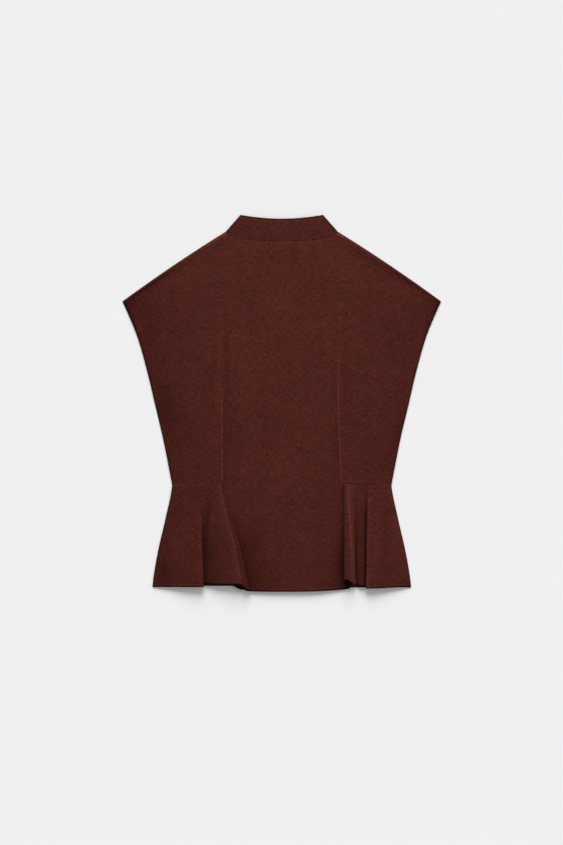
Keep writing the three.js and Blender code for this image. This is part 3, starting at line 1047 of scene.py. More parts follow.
@dataclass
class FrontBody(SidePart):
    """A front panel lying on the floor, which passes over the shoulder as a narrow strip."""

    layer = "front_body"
    stride: float = 6
    creases: tuple[Crease, ...] = FRONT_CREASES
    # How far inside its ends a flank has its full unevenness.
    end_calm: float = 30
    roll_steps: int = 8
    strip_shares: tuple[float, ...] = (0.35, 0.7, 0.88, 1)
    # Painted light on the strip: lighter all along, a painted highlight towards the neck and painted shade
    # towards the tip.
    strip_base: float = 0.08
    strip_light: Slope = Slope(0.36, 0.5)
    strip_painted_shade: float = 0.2

    def __post_init__(self) -> None:
        """Names the piece, and spreads its columns."""
        super().__post_init__()
        self.middle = fractions(self.side.dart_x, self.stride, JOIN_ROWS, ())[:-1]
        self.flanks = fractions(CUT.waist_half - self.side.dart_x, self.stride, (), SIDE_ROWS)

    @staticmethod
    def top(out: float) -> Vector:
        """Returns where the bend over the shoulder begins, a share of the way to the tip."""
        return CUT.shoulder(out) - CUT.shoulder_out * CUT.inset

    def floor_spot(self, x: float, y: float, tone: float, lift: float = 0) -> Spot:
        """Returns a point of the cloth on the floor, raised only by its ridges."""
        return laid(x, y, CUT.front_level + max(relief(self.creases, x, y), 0) + lift, tone)

    def over_spot(self, seen: Vector, z: float, flat: Vector, tone: float) -> Spot:
        """Returns a point of the cloth that passes over the shoulder."""
        sign = self.side.sign
        return Spot(Vector((seen.x * sign, seen.y, z)), Vector((flat.x * sign, flat.y)), tone)

    def strip_tone(self, out: float) -> float:
        """Returns the painted light on the strip over the shoulder: a painted highlight at the neck and
        painted shade at the tip.
        """
        return self.strip_light.at(out) + self.strip_base - self.strip_painted_shade * smooth(out * 2 - 1)

    def floor_rows(self) -> Grid:
        """Returns rows from the waist to where the bend over the shoulder begins."""
        side = self.side
        height = CUT.neck_side_y - side.waist_y
        rows: Grid = []
        for up in fractions(height, self.stride, JOIN_ROWS, JOIN_ROWS):
            row: Row = []
            to_waist, to_top = up * height, (1 - up) * height
            edge = CUT.dart_line(side, up, self.top(0))
            calm = smooth(to_waist / self.end_calm) * smooth(to_top / self.end_calm)
            for out in self.middle:
                half = lerp(CUT.seam, edge.x, out)
                neck = CUT.neck_y(self.top(0).x * out, CUT.front_neck_y) - CUT.inset * out
                y = lerp(CUT.waist_y(side, half), neck, up)
                row.append(self.floor_spot(half * side.sign, y, seam_painted_light(half) + seam_painted_light(to_waist) + seam_painted_light(to_top)))
            for out in self.flanks:
                point = CUT.flank(side, out, up, self.top)
                to_side = (1 - out) * (CUT.waist_half - side.dart_x)
                lift = SIDE_LIFT.at(to_side)
                spot = self.floor_spot(point.x * side.sign, point.y, rim(to_side), lift)
                spot.place.z = lerp(CUT.front_level + lift, spot.place.z, calm * smooth(to_side / SIDE_CALM))
                row.append(spot)
            rows.append(row)
        return rows

    def rolled_rows(self) -> Grid:
        """Returns the rows of the bend over the shoulder."""
        rows: Grid = []
        for step in range(1, self.roll_steps + 1):
            turn = math.pi * step / self.roll_steps
            row: Row = [None] * len(self.middle)
            for out in self.flanks:
                seen = self.top(out) + CUT.shoulder_out * (CUT.roll * math.sin(turn))
                flat = self.top(out) + CUT.shoulder_out * (CUT.roll * turn)
                z = CUT.front_level + CUT.roll * (1 - math.cos(turn))
                row.append(self.over_spot(seen, z, flat, self.strip_tone(out)))
            rows.append(row)
        return rows

    def strip_rows(self) -> Grid:
        """Returns the rows of the strip on top, up to its seam with the back."""
        rows: Grid = []
        for share in self.strip_shares:
            row: Row = [None] * len(self.middle)
            for out in self.flanks:
                width = CUT.strip_width(out)
                reached = lerp(CUT.inset, width, share)
                seen = CUT.strip(out, reached)
                level = CUT.back_level(seen.x, seen.y) + STRIP_ROLL.at(width - reached)
                z = lerp(CUT.front_level + 2 * CUT.roll, level, share)
                flat = self.top(out) + CUT.shoulder_out * (CUT.roll * math.pi + reached - CUT.inset)
                row.append(self.over_spot(seen, z, flat, self.strip_tone(out) + seam_painted_light(width - reached)))
            rows.append(row)
        return rows

    def grid(self) -> Grid:
        """Returns rows from the waist to the shoulder, and then those that pass over it."""
        return [*self.floor_rows(), *self.rolled_rows(), *self.strip_rows()]


@dataclass
class FrontPeplum(SidePart):
    """A plain lower front piece, flat on the floor."""

    layer = "front_peplum"
    stride: float = 6
    creases: tuple[Crease, ...] = FRONT_CREASES
    # How many times over the full unevenness is reached on the way from waist or hem.
    calm_rate: float = 6

    def grid(self) -> Grid:
        """Returns rows from the hem up to the waist."""
        side = self.side
        length = side.waist_y - side.front_hem_y
        outs = fractions(CUT.waist_half, self.stride, JOIN_ROWS, SIDE_ROWS)
        rows: Grid = []
        for down in reversed(fractions(length, self.stride, JOIN_ROWS, HEM_ROWS)):
            row: Row = []
            edge = spline(CUT.peplum_edge, down).x
            end_calm = smooth(down * self.calm_rate) * smooth((1 - down) * self.calm_rate)
            end_tone = rim((1 - down) * length, HEM_RIM) + seam_painted_light(down * length)
            for out in outs:
                half = lerp(CUT.seam, edge, out)
                waist = lerp(CUT.seam, CUT.waist_half, out)
                x = half * side.sign
                y = lerp(CUT.waist_y(side, waist) - 2 * CUT.seam, side.front_hem_y, down)
                to_side = (1 - out) * edge
                calm = end_calm * smooth(to_side / SIDE_CALM)
                rise = max(relief(self.creases, x, y), 0) * calm + SIDE_LIFT.at(to_side)
                row.append(laid(x, y, CUT.front_level + rise, rim(to_side) + end_tone + seam_painted_light(half)))
            rows.append(row)
        return rows

    def stitched(self, grid: Grid) -> Row:
        """Returns the points of the groove above the fold of the hem, on the inner face."""
        return grid[STITCH_ROW]


@dataclass(frozen=True)
class Station:
    """A point of the peplum's section, in millimetres, with the hem below it and its painted light and
    shade.
    """

    x: float
    z: float
    hem: float
    tone: float


@dataclass
class BackPeplum(SidePart):
    """A flared piece under the waist seam, whose spare width lies in folds."""

    layer = "back_peplum"
    stride: float = 3.2
    creases: tuple[Crease, ...] = PEPLUM_CREASES
    # Points of a bend, of the doubled cloth, and between two folds, where they crowd towards the first.
    arc_steps: int = 10
    ply_steps: int = 8
    run_steps: int = 36
    run_crowding: float = 1.25
    least_radius: float = 0.6
    least_ply: float = 1
    least_run: float = 0.8
    # Shares of a fold's radii at the waist, of all its sizes where it starts, and of its run to turn back.
    waist_fold_size: float = 0.4
    onset_size: float = 0.12
    quick_turn: float = 0.5
    ply_growth: float = 1.2
    # Where a step in the swell begins and over how much it rises, as shares of the way to its top.
    step_at: tuple[float, float] = (0.72, 0.3)
    swell_length: float = 2.2
    # Where on a fold's section the hem changes over, and over how much of it.
    hem_at: tuple[float, float] = (0.45, 0.12)
    # Painted shade on the hidden ply, and how the painted shade beside a fold grows on the way down.
    ply_painted_shade: float = 0.6
    ply_shade_rate: float = 2.5
    slow_shade: float = 0.7
    late_shade: float = 0.15
    shade_growth: float = 1.4
    # Place and width of the painted highlight on a fold's nose, and the painted highlight and painted shade
    # at a wide crest.
    nose_line: tuple[float, float] = (0.7, 0.9)
    crest_start: float = 0.3
    crest_light: Line = Line(0.18, 0, 1.1)
    crest_shadow: Line = Line(-0.14, -2.4, 1)
    painted_light_reach: float = 8
    # How the creases fade out towards the edges, and how the hem stands up between them.
    calm_rate: float = 3
    calm_side: float = 8
    calm_seam: float = 30
    hem_lift: float = 1.7
    lift_side: float = 22
    lift_seam: float = 20
    # Painted shade at the inner seam, and the painted light along the side seam, which begins above the hem.
    seam_painted_shade: float = -0.4
    side_light_reach: float = 9
    side_light_hem: float = 30

    def __post_init__(self) -> None:
        """Names the piece, and measures its length."""
        super().__post_init__()
        self.length = self.side.waist_y - CUT.hem_side[1]

    def walk(self, points: list[Vector], length: float, start: float, end: float, steps: int) -> None:
        """Adds points along a length of cloth that turns from one heading to another."""
        for step in range(steps):
            heading = lerp(start, end, (step + 0.5) / steps)
            points.append(points[-1] + Vector((math.cos(heading), math.sin(heading))) * (length / steps))

    def fold_path(self, fold: Fold, down: float) -> tuple[list[Vector], float]:
        """Draws one fold in section: a bend up and back, the doubled ply, and a bend forward again.

        Args:
            fold: The fold's sizes.
            down: Share of the way from waist to hem.

        Returns:
            The points from the fold's foot, and how far its nose stands out.
        """
        opened = clamp01((down - fold.opens) / (1 - fold.opens))
        turned = math.radians(fold.turn) * smooth((down - fold.opens) / fold.run / self.quick_turn)
        size = lerp(self.waist_fold_size, 1, opened)
        shrink = lerp(self.onset_size, 1, fold.risen(down) if fold.opens else 1)
        hidden = max(fold.hidden * size, self.least_radius) * shrink
        nose = max(fold.nose * size, self.least_radius) * shrink
        ply = (fold.ply * opened**self.ply_growth + self.least_ply) * shrink
        points = [Vector((0, 0))]
        self.walk(points, math.pi * hidden, 0, turned, self.arc_steps)
        self.walk(points, ply, turned, turned, self.ply_steps)
        self.walk(points, math.pi * nose, turned, 0, self.arc_steps)
        return points, nose * (1 - math.cos(turned)) / 2

    def swell(self, along: float, peak: float, stepped: bool) -> float:
        """Returns the swell of the cloth: a step and a long slope beyond a fold, or a soft ridge."""
        if stepped:
            start, rise = self.step_at
            return smooth((along / peak - start) / rise) * (1 - smooth((along - peak) / (1 - peak)))
        return math.sin(math.pi * clamp01(along / (self.swell_length * peak))) ** 2

    def row(self, down: float) -> Row:
        """Returns one row from the inner seam to the side seam."""
        side = self.side
        foot = CUT.seam_foot(side, down)
        edge = spline(CUT.peplum_edge, down)
        line = [Station(foot.x + CUT.seam * 2, foot.z, side.seam_hem_y + side.tuck, self.seam_painted_shade * down)]
        last: Optional[Fold] = None

        def run_to(x: float, z: float, hem: float, coming: Optional[Fold], edge_x: float) -> None:
            """Adds the stations up to a place, beside the coming fold's edge."""
            start = line[-1]
            count = self.run_steps if last else 2
            for step in range(1, count + 1):
                along = (step / count) ** self.run_crowding
                at = lerp(start.x, x, along)
                fall = smooth(along ** (last.drop if last else 1))
                hem_fall = smooth(along / (last.hem_run if last else 1))
                lift = last.crest * down * self.swell(along, last.crest_at, last.turn > 0) if last else 0.0
                # Painted shade under the coming fold, and painted shade and highlight beyond the last one.
                tone = self.painted_shade(coming, edge_x - at, down) + self.painted_light_beyond(last, at - start.x, down)
                line.append(Station(at, lerp(start.z, z, fall) + lift, lerp(start.hem, hem, hem_fall), tone))

        for fold in side.folds:
            points, overhang = self.fold_path(fold, down)
            nose_x = fold.nose_x(down)
            wanted = nose_x + overhang - points[-1].x if fold.turn else nose_x
            x = max(wanted, line[-1].x + self.least_run)
            low = lerp(CUT.back_level(x, edge.y), fold.low, down) if last else foot.z
            run_to(x, low, fold.low_y, fold, nose_x)
            if fold.turn:
                line.extend(self.plies(fold, points, line[-1], down))
            last = fold
        run_to(edge.x, CUT.edge_level, CUT.hem_side[1], None, edge.x)
        return self.spots(line, down, edge.x)

    def plies(self, fold: Fold, points: list[Vector], foot: Station, down: float) -> list[Station]:
        """Places a fold's section.

        Args:
            fold: The fold.
            points: Its section from its foot.
            foot: The station at its foot.
            down: Share of the way from waist to hem.

        Returns:
            The stations beyond the foot.
        """
        # Painted shade on the hidden ply, and painted light on the ply that shows.
        hidden = -self.ply_painted_shade * fold.risen(down) * smooth(down * self.ply_shade_rate)
        shown = self.painted_light_beyond(fold, 0, down)
        start, run = self.hem_at
        stations = []
        for step, point in enumerate(points[1:], 1):
            share = step / (len(points) - 1)
            tone = lerp(hidden, shown, smooth(share * 2 - 1))
            hem = lerp(fold.low_y, fold.top_y, smooth((share - start) / run))
            stations.append(Station(foot.x + point.x, foot.z + point.y, hem, tone))
        return stations

    def painted_shade(self, fold: Optional[Fold], gap: float, down: float) -> float:
        """Returns the painted shade on the cloth at a distance from the edge of the fold that it runs under.
        """
        if fold is None:
            return 0.0
        run = fold.run + self.late_shade if fold.opens else self.slow_shade
        grown = smooth((down - fold.opens) / run) ** self.shade_growth
        return Fade(-fold.shade.painted_shade * grown, fold.shade.reach).at(gap)

    def painted_light_beyond(self, fold: Optional[Fold], gap: float, down: float) -> float:
        """Returns the painted shade and highlight on the cloth at a distance beyond a fold's edge, or the
        painted shade beyond a trough.
        """
        if fold is None:
            return 0.0
        if not fold.turn:
            return self.painted_shade(fold, gap, down)
        shade = fold.shade
        crest = shade.crest * lerp(self.crest_start, 1, down)
        lit = lerp(-shade.edge, shade.painted_light, smooth(gap / crest)) + Line(shade.line, *self.nose_line).at(gap)
        if shade.crest > 1:
            lit += self.crest_light.at(gap - crest) + self.crest_shadow.at(gap - crest)
        return Fade(lit * fold.risen(down), self.painted_light_reach).at(gap - crest)

    def spots(self, line: list[Station], down: float, edge_x: float) -> Row:
        """Turns a section into points of the cloth.

        Args:
            line: Stations of the section.
            down: Share of the way from waist to hem.
            edge_x: Distance of the side seam from the middle.

        Returns:
            The row's points.
        """
        side = self.side
        from_waist, to_hem = down * self.length, (1 - down) * self.length
        end_dip = SEAM_ROLL.at(from_waist) + hem_line(to_hem, CUT.hem_band)
        end_tone = rim(to_hem, HEM_RIM) + seam_painted_light(from_waist)
        spots: Row = []
        steps = [math.hypot(b.x - a.x, b.z - a.z) for a, b in zip(line, line[1:])]
        width = edge_x - sum(steps)
        for at, step in zip(line, [0.0, *steps]):
            width += step
            y = lerp(CUT.waist_y(side, max(at.x, side.dart_x)) - 2 * CUT.seam, at.hem, down)
            to_side, from_seam = edge_x - at.x, at.x - line[0].x
            soft = relief(self.creases, at.x * side.sign, y) * smooth(down * self.calm_rate)
            soft *= smooth(to_side / self.calm_side) * smooth(from_seam / self.calm_seam)
            flare = self.hem_lift * smooth(down * 2 - 1)
            flare *= smooth(to_side / self.lift_side) * smooth(from_seam / self.lift_seam)
            roll = SIDE_ROLL.at(to_side) if to_side >= 0 else 0.0
            z = at.z + soft + flare + roll + end_dip + pucker(at.x, from_waist)
            # Painted light along the side seam, beside the painted light and shade of edges, seams and
            # creases.
            painted_light = Fade(side.side_painted_light, self.side_light_reach).at(to_side)
            painted_light *= smooth(to_hem / self.side_light_hem)
            tone = at.tone + end_tone + rim(to_side) + soft * CREASE_PAINTED_LIGHT + painted_light
            spots.append(Spot(Vector((at.x * side.sign, y, z)), Vector((width * side.sign, y)), tone))
        return spots

    def grid(self) -> Grid:
        """Returns rows from the hem up to the waist."""
        downs = fractions(self.length, self.stride, SIDE_ROWS, HEM_ROWS)
        return [self.row(down) for down in reversed(downs)]

    def stitched(self, grid: Grid) -> Row:
        """Returns the points above the hem over the widest outer stretch of the cloth."""
        return grid[STITCH_ROW][-self.run_steps :]

    def rests_on(self) -> list[str]:
        """Returns the pieces under the peplum."""
        return ["back_body_cloth", f"front_peplum_{self.side.name}_cloth"]


@dataclass
class Collar(ClothPart):
    """A standing band round the neck, pressed flat and open at the middle of the front."""

    name: str = "collar"
    back_stride: float = 3.5
    front_stride: float = 5
    roll_steps: int = 10
    # The top edge: half its width, its place at the sides, how far it sinks, and its height.
    top_half: float = 67
    top_y: float = 305
    back_dip: float = 6.5
    front_dip: float = 9
    top_level: float = 5.6
    top_edge_level: float = 2.6
    # Powers by which the height falls and the band lies down towards the sides.
    level_fall: int = 4
    settle: int = 6
    # How fast the bend's foot joins the front's neck, how far the top edge drops there, and the bow.
    foot_run: float = 5
    head_slope: float = 0.3
    bow: float = 0.5
    # Painted shade and a painted highlight line towards the top edge, and painted shade at the bend at each
    # side.
    top_edge_painted_shade: Fade = Fade(-0.15, 2.5)
    rim_shade_scale: float = 2.3
    bend_painted_shade: float = 0.4
    bend_shade_growth: int = 60
    stitch_inset: float = 2.4
    row_places: tuple[float, ...] = (0, 0.02, 0.05, 0.12, 0.25, 0.4, 0.55, 0.7, 0.82, 0.9, 0.935, 0.97, 1)

    def __post_init__(self) -> None:
        """Works out where the bend at the side begins, and how round it is."""
        self.foot_edge = CUT.shoulder(0).x - CUT.inset
        self.foot_y = CUT.neck_y(self.foot_edge, CUT.back_neck_y) + CUT.seam
        self.foot_roll = (CUT.back_level(self.foot_edge, self.foot_y) - CUT.front_level) / 2
        self.head_roll = (self.top_edge_level - CUT.front_level) / 2
        self.head_edge = self.top_half - self.head_roll - CUT.wall / 2

    def head_y(self, half: float, dip: float) -> float:
        """Returns the top edge's place along Y."""
        return self.top_y - dip * (1 - (half / self.top_half) ** 2)

    def column(self, foot: Vector, head: Vector, lift: float, bend_painted_shade: float = 0) -> list[Spot]:
        """Returns one column from the neck seam to the top edge."""
        tall = (head - foot).length
        spots = []
        for up in self.row_places:
            from_seam, to_edge = up * tall, (1 - up) * tall
            place = foot.lerp(head, up)
            flat = Vector((place.x, place.y))
            dip = COLLAR_ROLL.at(from_seam) + hem_line(to_edge, self.stitch_inset)
            swell = COLLAR_CRUMPLE.at(place.x, place.y) + self.bow * math.sin(math.pi * up)
            place.z += (dip + swell) * lift
            # Painted light and shade beside the seam and the top edge, and painted shade at the bend.
            tone = seam_painted_light(from_seam) + self.rim_shade_scale * rim(to_edge) + self.top_edge_painted_shade.at(to_edge) - bend_painted_shade
            spots.append(Spot(place, flat, tone))
        return spots

    def back_columns(self, sign: int) -> list[list[Spot]]:
        """Returns the columns from the middle of the back to the bend at the side."""
        columns = []
        for share in fractions(self.foot_edge, self.back_stride, (), ()):
            half = self.foot_edge * share
            neck = CUT.neck_y(half, CUT.back_neck_y)
            foot = Vector((half * sign, neck + CUT.seam, CUT.back_level(half, neck)))
            head_half = self.head_edge * share
            level = lerp(self.top_level, self.top_edge_level, share**self.level_fall)
            head = Vector((head_half * sign, self.head_y(head_half, self.back_dip), level))
            painted_shade = self.bend_painted_shade * share**self.bend_shade_growth
            columns.append(self.column(foot, head, 1 - share**self.settle, painted_shade))
        return columns

    def bend_columns(self, sign: int) -> list[list[Spot]]:
        """Returns the columns of the bend at the side."""
        head_y = self.head_y(self.head_edge, self.back_dip)
        columns = []
        for step in range(1, self.roll_steps + 1):
            turn = math.pi * step / self.roll_steps
            out, lift = math.sin(turn) * sign, 1 + math.cos(turn)
            foot_z, head_z = (CUT.front_level + roll * lift for roll in (self.foot_roll, self.head_roll))
            foot = Vector((self.foot_edge * sign + self.foot_roll * out, self.foot_y, foot_z))
            head = Vector((self.head_edge * sign + self.head_roll * out, head_y, head_z))
            columns.append(self.column(foot, head, 0, self.bend_painted_shade))
        return columns

    def front_columns(self, sign: int) -> list[list[Spot]]:
        """Returns the columns from the bend at the side to the middle of the front."""
        columns = []
        for share in fractions(self.foot_edge, self.front_stride, (), JOIN_ROWS)[1:]:
            half = lerp(self.foot_edge, CUT.seam, share)
            head_half = lerp(self.head_edge, CUT.seam, share)
            front_y = CUT.neck_y(half, CUT.front_neck_y) + CUT.seam
            foot_y = lerp(self.foot_y, front_y, smooth(share * self.foot_run))
            head_y = self.head_y(head_half, self.front_dip) - self.head_slope * share
            foot = Vector((half * sign, foot_y, CUT.front_level))
            columns.append(self.column(foot, Vector((head_half * sign, head_y, CUT.front_level)), 0))
        return columns

    def half(self, side: Side) -> list[list[Spot]]:
        """Returns the columns of one half, from the middle of the back round to the middle of the front."""
        parts = (self.back_columns, self.bend_columns, self.front_columns)
        return [column for part in parts for column in part(side.sign)]

    def grid(self) -> Grid:
        """Returns rows from the neck seam to the top edge."""
        return [list(row) for row in zip(*joined(*(self.half(side) for side in SIDES)))]

    def stitched(self, grid: Grid) -> Row:
        """Returns the points of the edge stitching under the top edge of the back."""
        return [spot for spot in grid[-3] if spot and spot.place.z > self.top_edge_level]


def new_material(name: str) -> tuple[bpy.types.Material, bpy.types.Node]:
    """Makes a material, and returns it with its shader."""
    material = bpy.data.materials.new(name)
    material.use_nodes = True
    return material, material.node_tree.nodes["Principled BSDF"]


def set_inputs(node: bpy.types.Node, values: dict[str, object]) -> None:
    """Gives a node's inputs their values."""
    for name, value in values.items():
        node.inputs[name].default_value = value


def dimmed(colour: Rgb, share: float) -> Rgb:
    """Returns a share of a colour's brightness."""
    return tuple(part * share for part in colour)


class Grain(Enum):
    """How the cloth's threads run on a piece."""

    LENGTHWISE = (1.0, 1.0)
    CROSSWISE = (1.3, 0.8)


@dataclass(frozen=True)
class WovenFinish:
    """A matt woven cloth with slubs that run both ways."""

    name: str
    colour: Rgb
    grain: Grain = Grain.LENGTHWISE
    slub: float = 1.32
    bump: float = 0.5
    bump_depth: float = 0.0006
    sheen: float = 0.02
    sheen_roughness: float = 0.6
    specular: float = 0.05
    roughness: float = 0.9

    def material(self, weave: bpy.types.NodeTree) -> bpy.types.Material:
        """Makes the material.

        Args:
            weave: Node group that draws the woven surface.

        Returns:
            The finished material.
        """
        material, shader = new_material(self.name)
        nodes, links = material.node_tree.nodes, material.node_tree.links
        glossy = {"Sheen Roughness": self.sheen_roughness, "Specular IOR Level": self.specular}
        set_inputs(shader, {"Sheen Weight": self.sheen, **glossy})
        place = nodes.new("ShaderNodeUVMap")
        place.uv_map = FLAT_CUT
        # Painted light and shade of each piece, which the weave group multiplies into the colour.
        edge = nodes.new("ShaderNodeAttribute")
        edge.attribute_name = PAINTED_LIGHT_TONE
        cloth = nodes.new("ShaderNodeGroup")
        cloth.node_tree = weave
        set_inputs(cloth, {"Colour": (*self.colour, 1), "Grain": (*self.grain.value, 1)})
        set_inputs(cloth, {"Slub": self.slub, "Roughness": self.roughness})
        bump = nodes.new("ShaderNodeBump")
        set_inputs(bump, {"Strength": self.bump, "Distance": self.bump_depth})
        links.new(place.outputs["UV"], cloth.inputs["Place"])
        links.new(edge.outputs["Fac"], cloth.inputs["Tone"])
        links.new(cloth.outputs["Colour"], shader.inputs["Base Color"])
        links.new(cloth.outputs["Roughness"], shader.inputs["Roughness"])
        links.new(cloth.outputs["Height"], bump.inputs["Height"])
        links.new(bump.outputs["Normal"], shader.inputs["Normal"])
        return material


@dataclass(frozen=True)
class ThreadFinish:
    """Sewing thread in the colour of the cloth, with its twist as a fine tone across it."""

    name: str = "sewing_thread"
    colour: Rgb = (0.062, 0.0145, 0.0105)
    roughness: float = 0.6
    twist: float = 2600
    darkest: float = 0.8
    lightest: float = 1.25

    def material(self) -> bpy.types.Material:
        """Makes the material."""
        material, shader = new_material(self.name)
        nodes, links = material.node_tree.nodes, material.node_tree.links
        set_inputs(shader, {"Roughness": self.roughness})
        place = nodes.new("ShaderNodeTexCoord")
        twist = nodes.new("ShaderNodeTexNoise")
        set_inputs(twist, {"Scale": self.twist})
        tone = nodes.new("ShaderNodeValToRGB")
        for stop, share in zip(tone.color_ramp.elements, (self.darkest, self.lightest)):
            stop.color = (*dimmed(self.colour, share), 1)
        links.new(place.outputs["Object"], twist.inputs["Vector"])
        links.new(twist.outputs["Fac"], tone.inputs["Fac"])
        links.new(tone.outputs["Color"], shader.inputs["Base Color"])
        return material


@dataclass(frozen=True)
class Streaks:
    """Noise drawn out along the cloth, in features per metre across and along."""

    across: float
    along: float
    strength: float = 1
    detail: float = 2


class WeaveGroup:
    """Node group that draws slubs, crumple and threads on the cloth's flat cut, with its painted light and
    shade.

    Where the painted tone is negative, as in folds, the colour gains and loses the shares of the painted
    shade tint, so painted shade comes out redder, as light thrown back and forth between two layers does.
    """

    # Shares by which painted shade tints each colour, so that the folds come out redder.
    painted_shade_tint: Rgb = (-0.14, 0.3, 0.38)
    weft = Streaks(150, 490)
    warp = Streaks(500, 170, 0.85)
    mottle = Streaks(70, 60)
    weft_bands = Streaks(7, 62, 0.4, 1)
    warp_bands = Streaks(55, 6, 0.5, 1)
    crumple = Streaks(95, 150, 0.9)
    mottle_share = 0.3
    roughening = 0.12
    thread_scale = 390
    thread_wander = 0.6
    thread_height = 0.25
    slub_height = 0.5
    inputs = (
        ("Place", "NodeSocketVector", None),
        ("Grain", "NodeSocketVector", (1, 1, 1)),
        ("Colour", "NodeSocketColor", (0.07, 0.02, 0.01, 1)),
        ("Slub", "NodeSocketFloat", 0.3),
        # Painted light and shade, as a share of brightness.
        ("Tone", "NodeSocketFloat", 0.0),
        ("Roughness", "NodeSocketFloat", 0.9),
    )
    outputs = (
        ("Colour", "NodeSocketColor"),
        ("Roughness", "NodeSocketFloat"),
        ("Height", "NodeSocketFloat"),
    )

    def __init__(self) -> None:
        """Starts an empty group with its sockets."""
        self.tree = bpy.data.node_groups.new("woven_cloth", "ShaderNodeTree")
        for name, kind, value in self.inputs:
            socket = self.tree.interface.new_socket(name=name, in_out="INPUT", socket_type=kind)
            if value is not None:
                socket.default_value = value
        for name, kind in self.outputs:
            self.tree.interface.new_socket(name=name, in_out="OUTPUT", socket_type=kind)
        self.given = self.tree.nodes.new("NodeGroupInput").outputs
        self.result = self.tree.nodes.new("NodeGroupOutput").inputs

    def combine(self, kind: str, operation: str, *parts: object) -> bpy.types.NodeSocket:
        """Adds a node that works on numbers or on vectors.

        Args:
            kind: Type of the node.
            operation: Name of what it does.
            parts: What goes into its inputs, each a socket or a value.

        Returns:
            The node's result.
        """
        node = self.tree.nodes.new(kind)
        node.operation = operation
        for part, target in zip(parts, node.inputs):
            if isinstance(part, bpy.types.NodeSocket):
                self.tree.links.new(part, target)
            else:
                target.default_value = part
        return node.outputs[0]

    def math(self, operation: str, first: bpy.types.NodeSocket, second: object) -> bpy.types.NodeSocket:
        """Adds a node that works on two numbers."""
        return self.combine("ShaderNodeMath", operation, first, second)

    def vector(self, operation: str, *parts: object) -> bpy.types.NodeSocket:
        """Adds a node that works on vectors."""
        return self.combine("ShaderNodeVectorMath", operation, *parts)

    def streaks(self, place: bpy.types.NodeSocket, pattern: Streaks) -> bpy.types.NodeSocket:
        """Adds noise drawn out along the cloth.

        Args:
            place: Place on the flat cut.
            pattern: Sizes and strength of the noise.

        Returns:
            A value about 0.
        """
        noise_node = self.tree.nodes.new("ShaderNodeTexNoise")
        set_inputs(noise_node, {"Scale": 1, "Detail": pattern.detail})
        stretched = self.vector("MULTIPLY", place, (pattern.across, pattern.along, 1))
        self.tree.links.new(stretched, noise_node.inputs["Vector"])
        centred = self.math("SUBTRACT", noise_node.outputs["Fac"], 0.5)
        return centred if pattern.strength == 1 else self.math("MULTIPLY", centred, pattern.strength)

    def threads(self, place: bpy.types.NodeSocket, direction: str) -> bpy.types.NodeSocket:
        """Adds the fine ribs of the threads that run one way."""
        ribs = self.tree.nodes.new("ShaderNodeTexWave")
        ribs.bands_direction = direction
        set_inputs(ribs, {"Scale": self.thread_scale, "Distortion": self.thread_wander})
        self.tree.links.new(place, ribs.inputs["Vector"])
        return ribs.outputs["Fac"]

    def build(self) -> bpy.types.NodeTree:
        """Draws the group.

        Returns:
            The node tree.
        """
        place = self.vector("MULTIPLY", self.given["Place"], self.given["Grain"])
        weft, warp = self.streaks(place, self.weft), self.streaks(place, self.warp)
        bands = self.math("ADD", self.streaks(place, self.warp_bands), self.streaks(place, self.weft_bands))
        mottle = self.math("ADD", self.streaks(place, self.mottle), bands)
        faint = self.math("MULTIPLY", mottle, self.mottle_share)
        slubs = self.math("ADD", self.math("ADD", weft, warp), faint)
        grained = self.math("ADD", self.math("MULTIPLY", slubs, self.given["Slub"]), 1)
        # Slubs of the cloth, times its painted light and shade.
        tone = self.math("MULTIPLY", grained, self.math("ADD", self.given["Tone"], 1))
        # Painted shade tints the colour redder.
        shadow = self.math("MINIMUM", self.given["Tone"], 0)
        shade_tinted = self.vector("MULTIPLY_ADD", shadow, self.painted_shade_tint, (1, 1, 1))
        colour_and_shade_tint = self.vector("MULTIPLY", self.given["Colour"], shade_tinted)
        self.tree.links.new(self.vector("MULTIPLY", colour_and_shade_tint, tone), self.result["Colour"])
        rough = self.math("ADD", self.given["Roughness"], self.math("MULTIPLY", weft, self.roughening))
        self.tree.links.new(rough, self.result["Roughness"])
        weave = self.math("MULTIPLY", self.threads(place, "X"), self.threads(place, "Y"))
        raised = self.math("MULTIPLY", weave, self.thread_height)
        height = self.math("ADD", raised, self.math("MULTIPLY", slubs, self.slub_height))
        height = self.math("ADD", height, self.streaks(place, self.crumple))
        self.tree.links.new(height, self.result["Height"])
        return self.tree


@dataclass(frozen=True)
class Sun:
    """A low soft light: its energy, its elevation and softness in degrees, and the way it leans."""

    name: str
    energy: float
    elevation: float
    softness: float
    axis: int
    way: int

    def make(self) -> None:
        """Puts the light into the scene."""
        lamp = bpy.data.lights.new(self.name, "SUN")
        lamp.energy = self.energy
        lamp.angle = math.radians(self.softness)
        sun = bpy.data.objects.new(self.name, lamp)
        sun.rotation_euler[self.axis] = math.radians(90 - self.elevation) * self.way
        bpy.context.scene.collection.objects.link(sun)


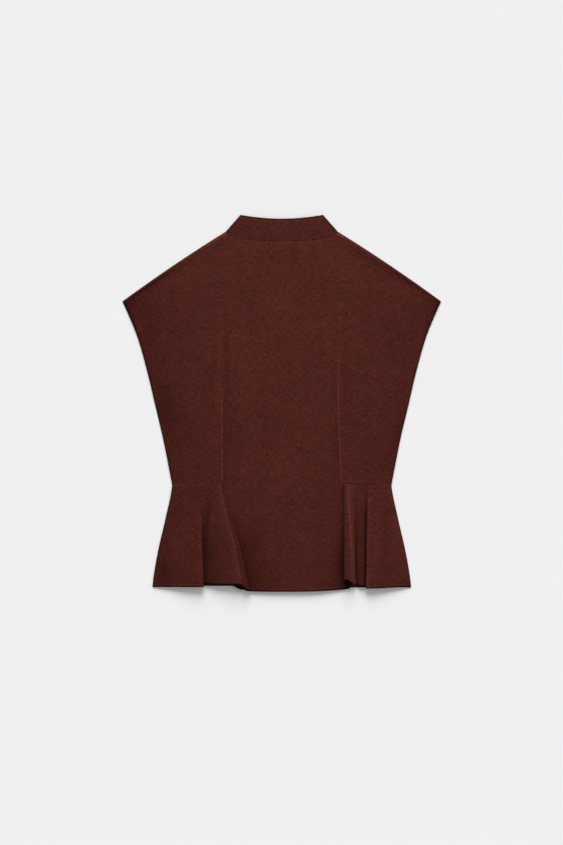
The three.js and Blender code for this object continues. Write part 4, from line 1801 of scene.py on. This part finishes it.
@dataclass(frozen=True)
class Studio:
    """Pale floor, soft light from beyond the collar, and the camera straight above."""

    pixel_mm: float = 1.62
    image: tuple[int, int] = (563, 845)
    centre_px: tuple[float, float] = (281.8, 403.25)
    lens_mm: float = 100
    sensor_mm: float = 36
    floor_size: float = 12
    floor_colour: float = 0.8
    sky: float = 0.35
    suns: tuple[Sun, ...] = (
        Sun("top_light", energy=4.22, elevation=28, softness=38, axis=0, way=-1),
        Sun("right_light", energy=0.55, elevation=38, softness=30, axis=1, way=1),
    )

    def floor(self) -> None:
        """Makes the floor."""
        mesh_data = bmesh.new()
        bmesh.ops.create_grid(mesh_data, x_segments=1, y_segments=1, size=self.floor_size / 2)
        material, shader = new_material("pale_floor")
        pale = (self.floor_colour, self.floor_colour, self.floor_colour, 1)
        set_inputs(shader, {"Base Color": pale, "Roughness": 1, "Specular IOR Level": 0})
        add_object("floor", mesh_data, material)

    def light(self) -> None:
        """Makes the even light from above and the low soft ones."""
        world = bpy.data.worlds.new("studio_sky")
        world.use_nodes = True
        set_inputs(world.node_tree.nodes["Background"], {"Color": (1, 1, 1, 1), "Strength": self.sky})
        bpy.context.scene.world = world
        for sun in self.suns:
            sun.make()

    def camera(self) -> None:
        """Makes the camera so that the top fills the frame as in the photograph."""
        width, height = self.image
        lens = bpy.data.cameras.new("photo_camera")
        lens.lens = self.lens_mm
        lens.sensor_width = self.sensor_mm
        camera = bpy.data.objects.new("photo_camera", lens)
        across = (width / 2 - self.centre_px[0]) * self.pixel_mm
        along = (self.centre_px[1] - height / 2) * self.pixel_mm
        distance = height * self.pixel_mm * self.lens_mm / self.sensor_mm
        camera.location = Vector((across, along, distance)) * MM
        bpy.context.scene.collection.objects.link(camera)
        bpy.context.scene.camera = camera
        bpy.context.scene.view_settings.view_transform = "Standard"


def main() -> None:
    """Builds the floor, light and camera, then every sewn piece from the floor up."""
    logging.basicConfig(level=logging.INFO, format="%(name)s: %(message)s")
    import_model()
    studio = Studio()
    studio.floor()
    studio.light()
    studio.camera()
    weave = WeaveGroup().build()
    body_cloth = WovenFinish("body_cloth", CLOTH_COLOUR).material(weave)
    # The peplum and the collar are copies of the body cloth, darker by painted shade.
    shaded_peplum_cloth = WovenFinish("shaded_peplum_cloth", dimmed(CLOTH_COLOUR, PEPLUM_SHADE_SHARE)).material(weave)
    shaded_collar_colour = dimmed(CLOTH_COLOUR, COLLAR_SHADE_SHARE)
    collar_cloth = WovenFinish("collar_cloth", shaded_collar_colour, Grain.CROSSWISE).material(weave)
    thread = ThreadFinish().material()
    for side in SIDES:
        FrontPeplum(side=side).make(shaded_peplum_cloth, thread)
        FrontBody(side=side).make(body_cloth, thread)
    BackBody().make(body_cloth, thread)
    for side in SIDES:
        BackPeplum(side=side).make(shaded_peplum_cloth, thread)
    Collar().make(collar_cloth, thread)


if __name__ == "__main__":
    main()
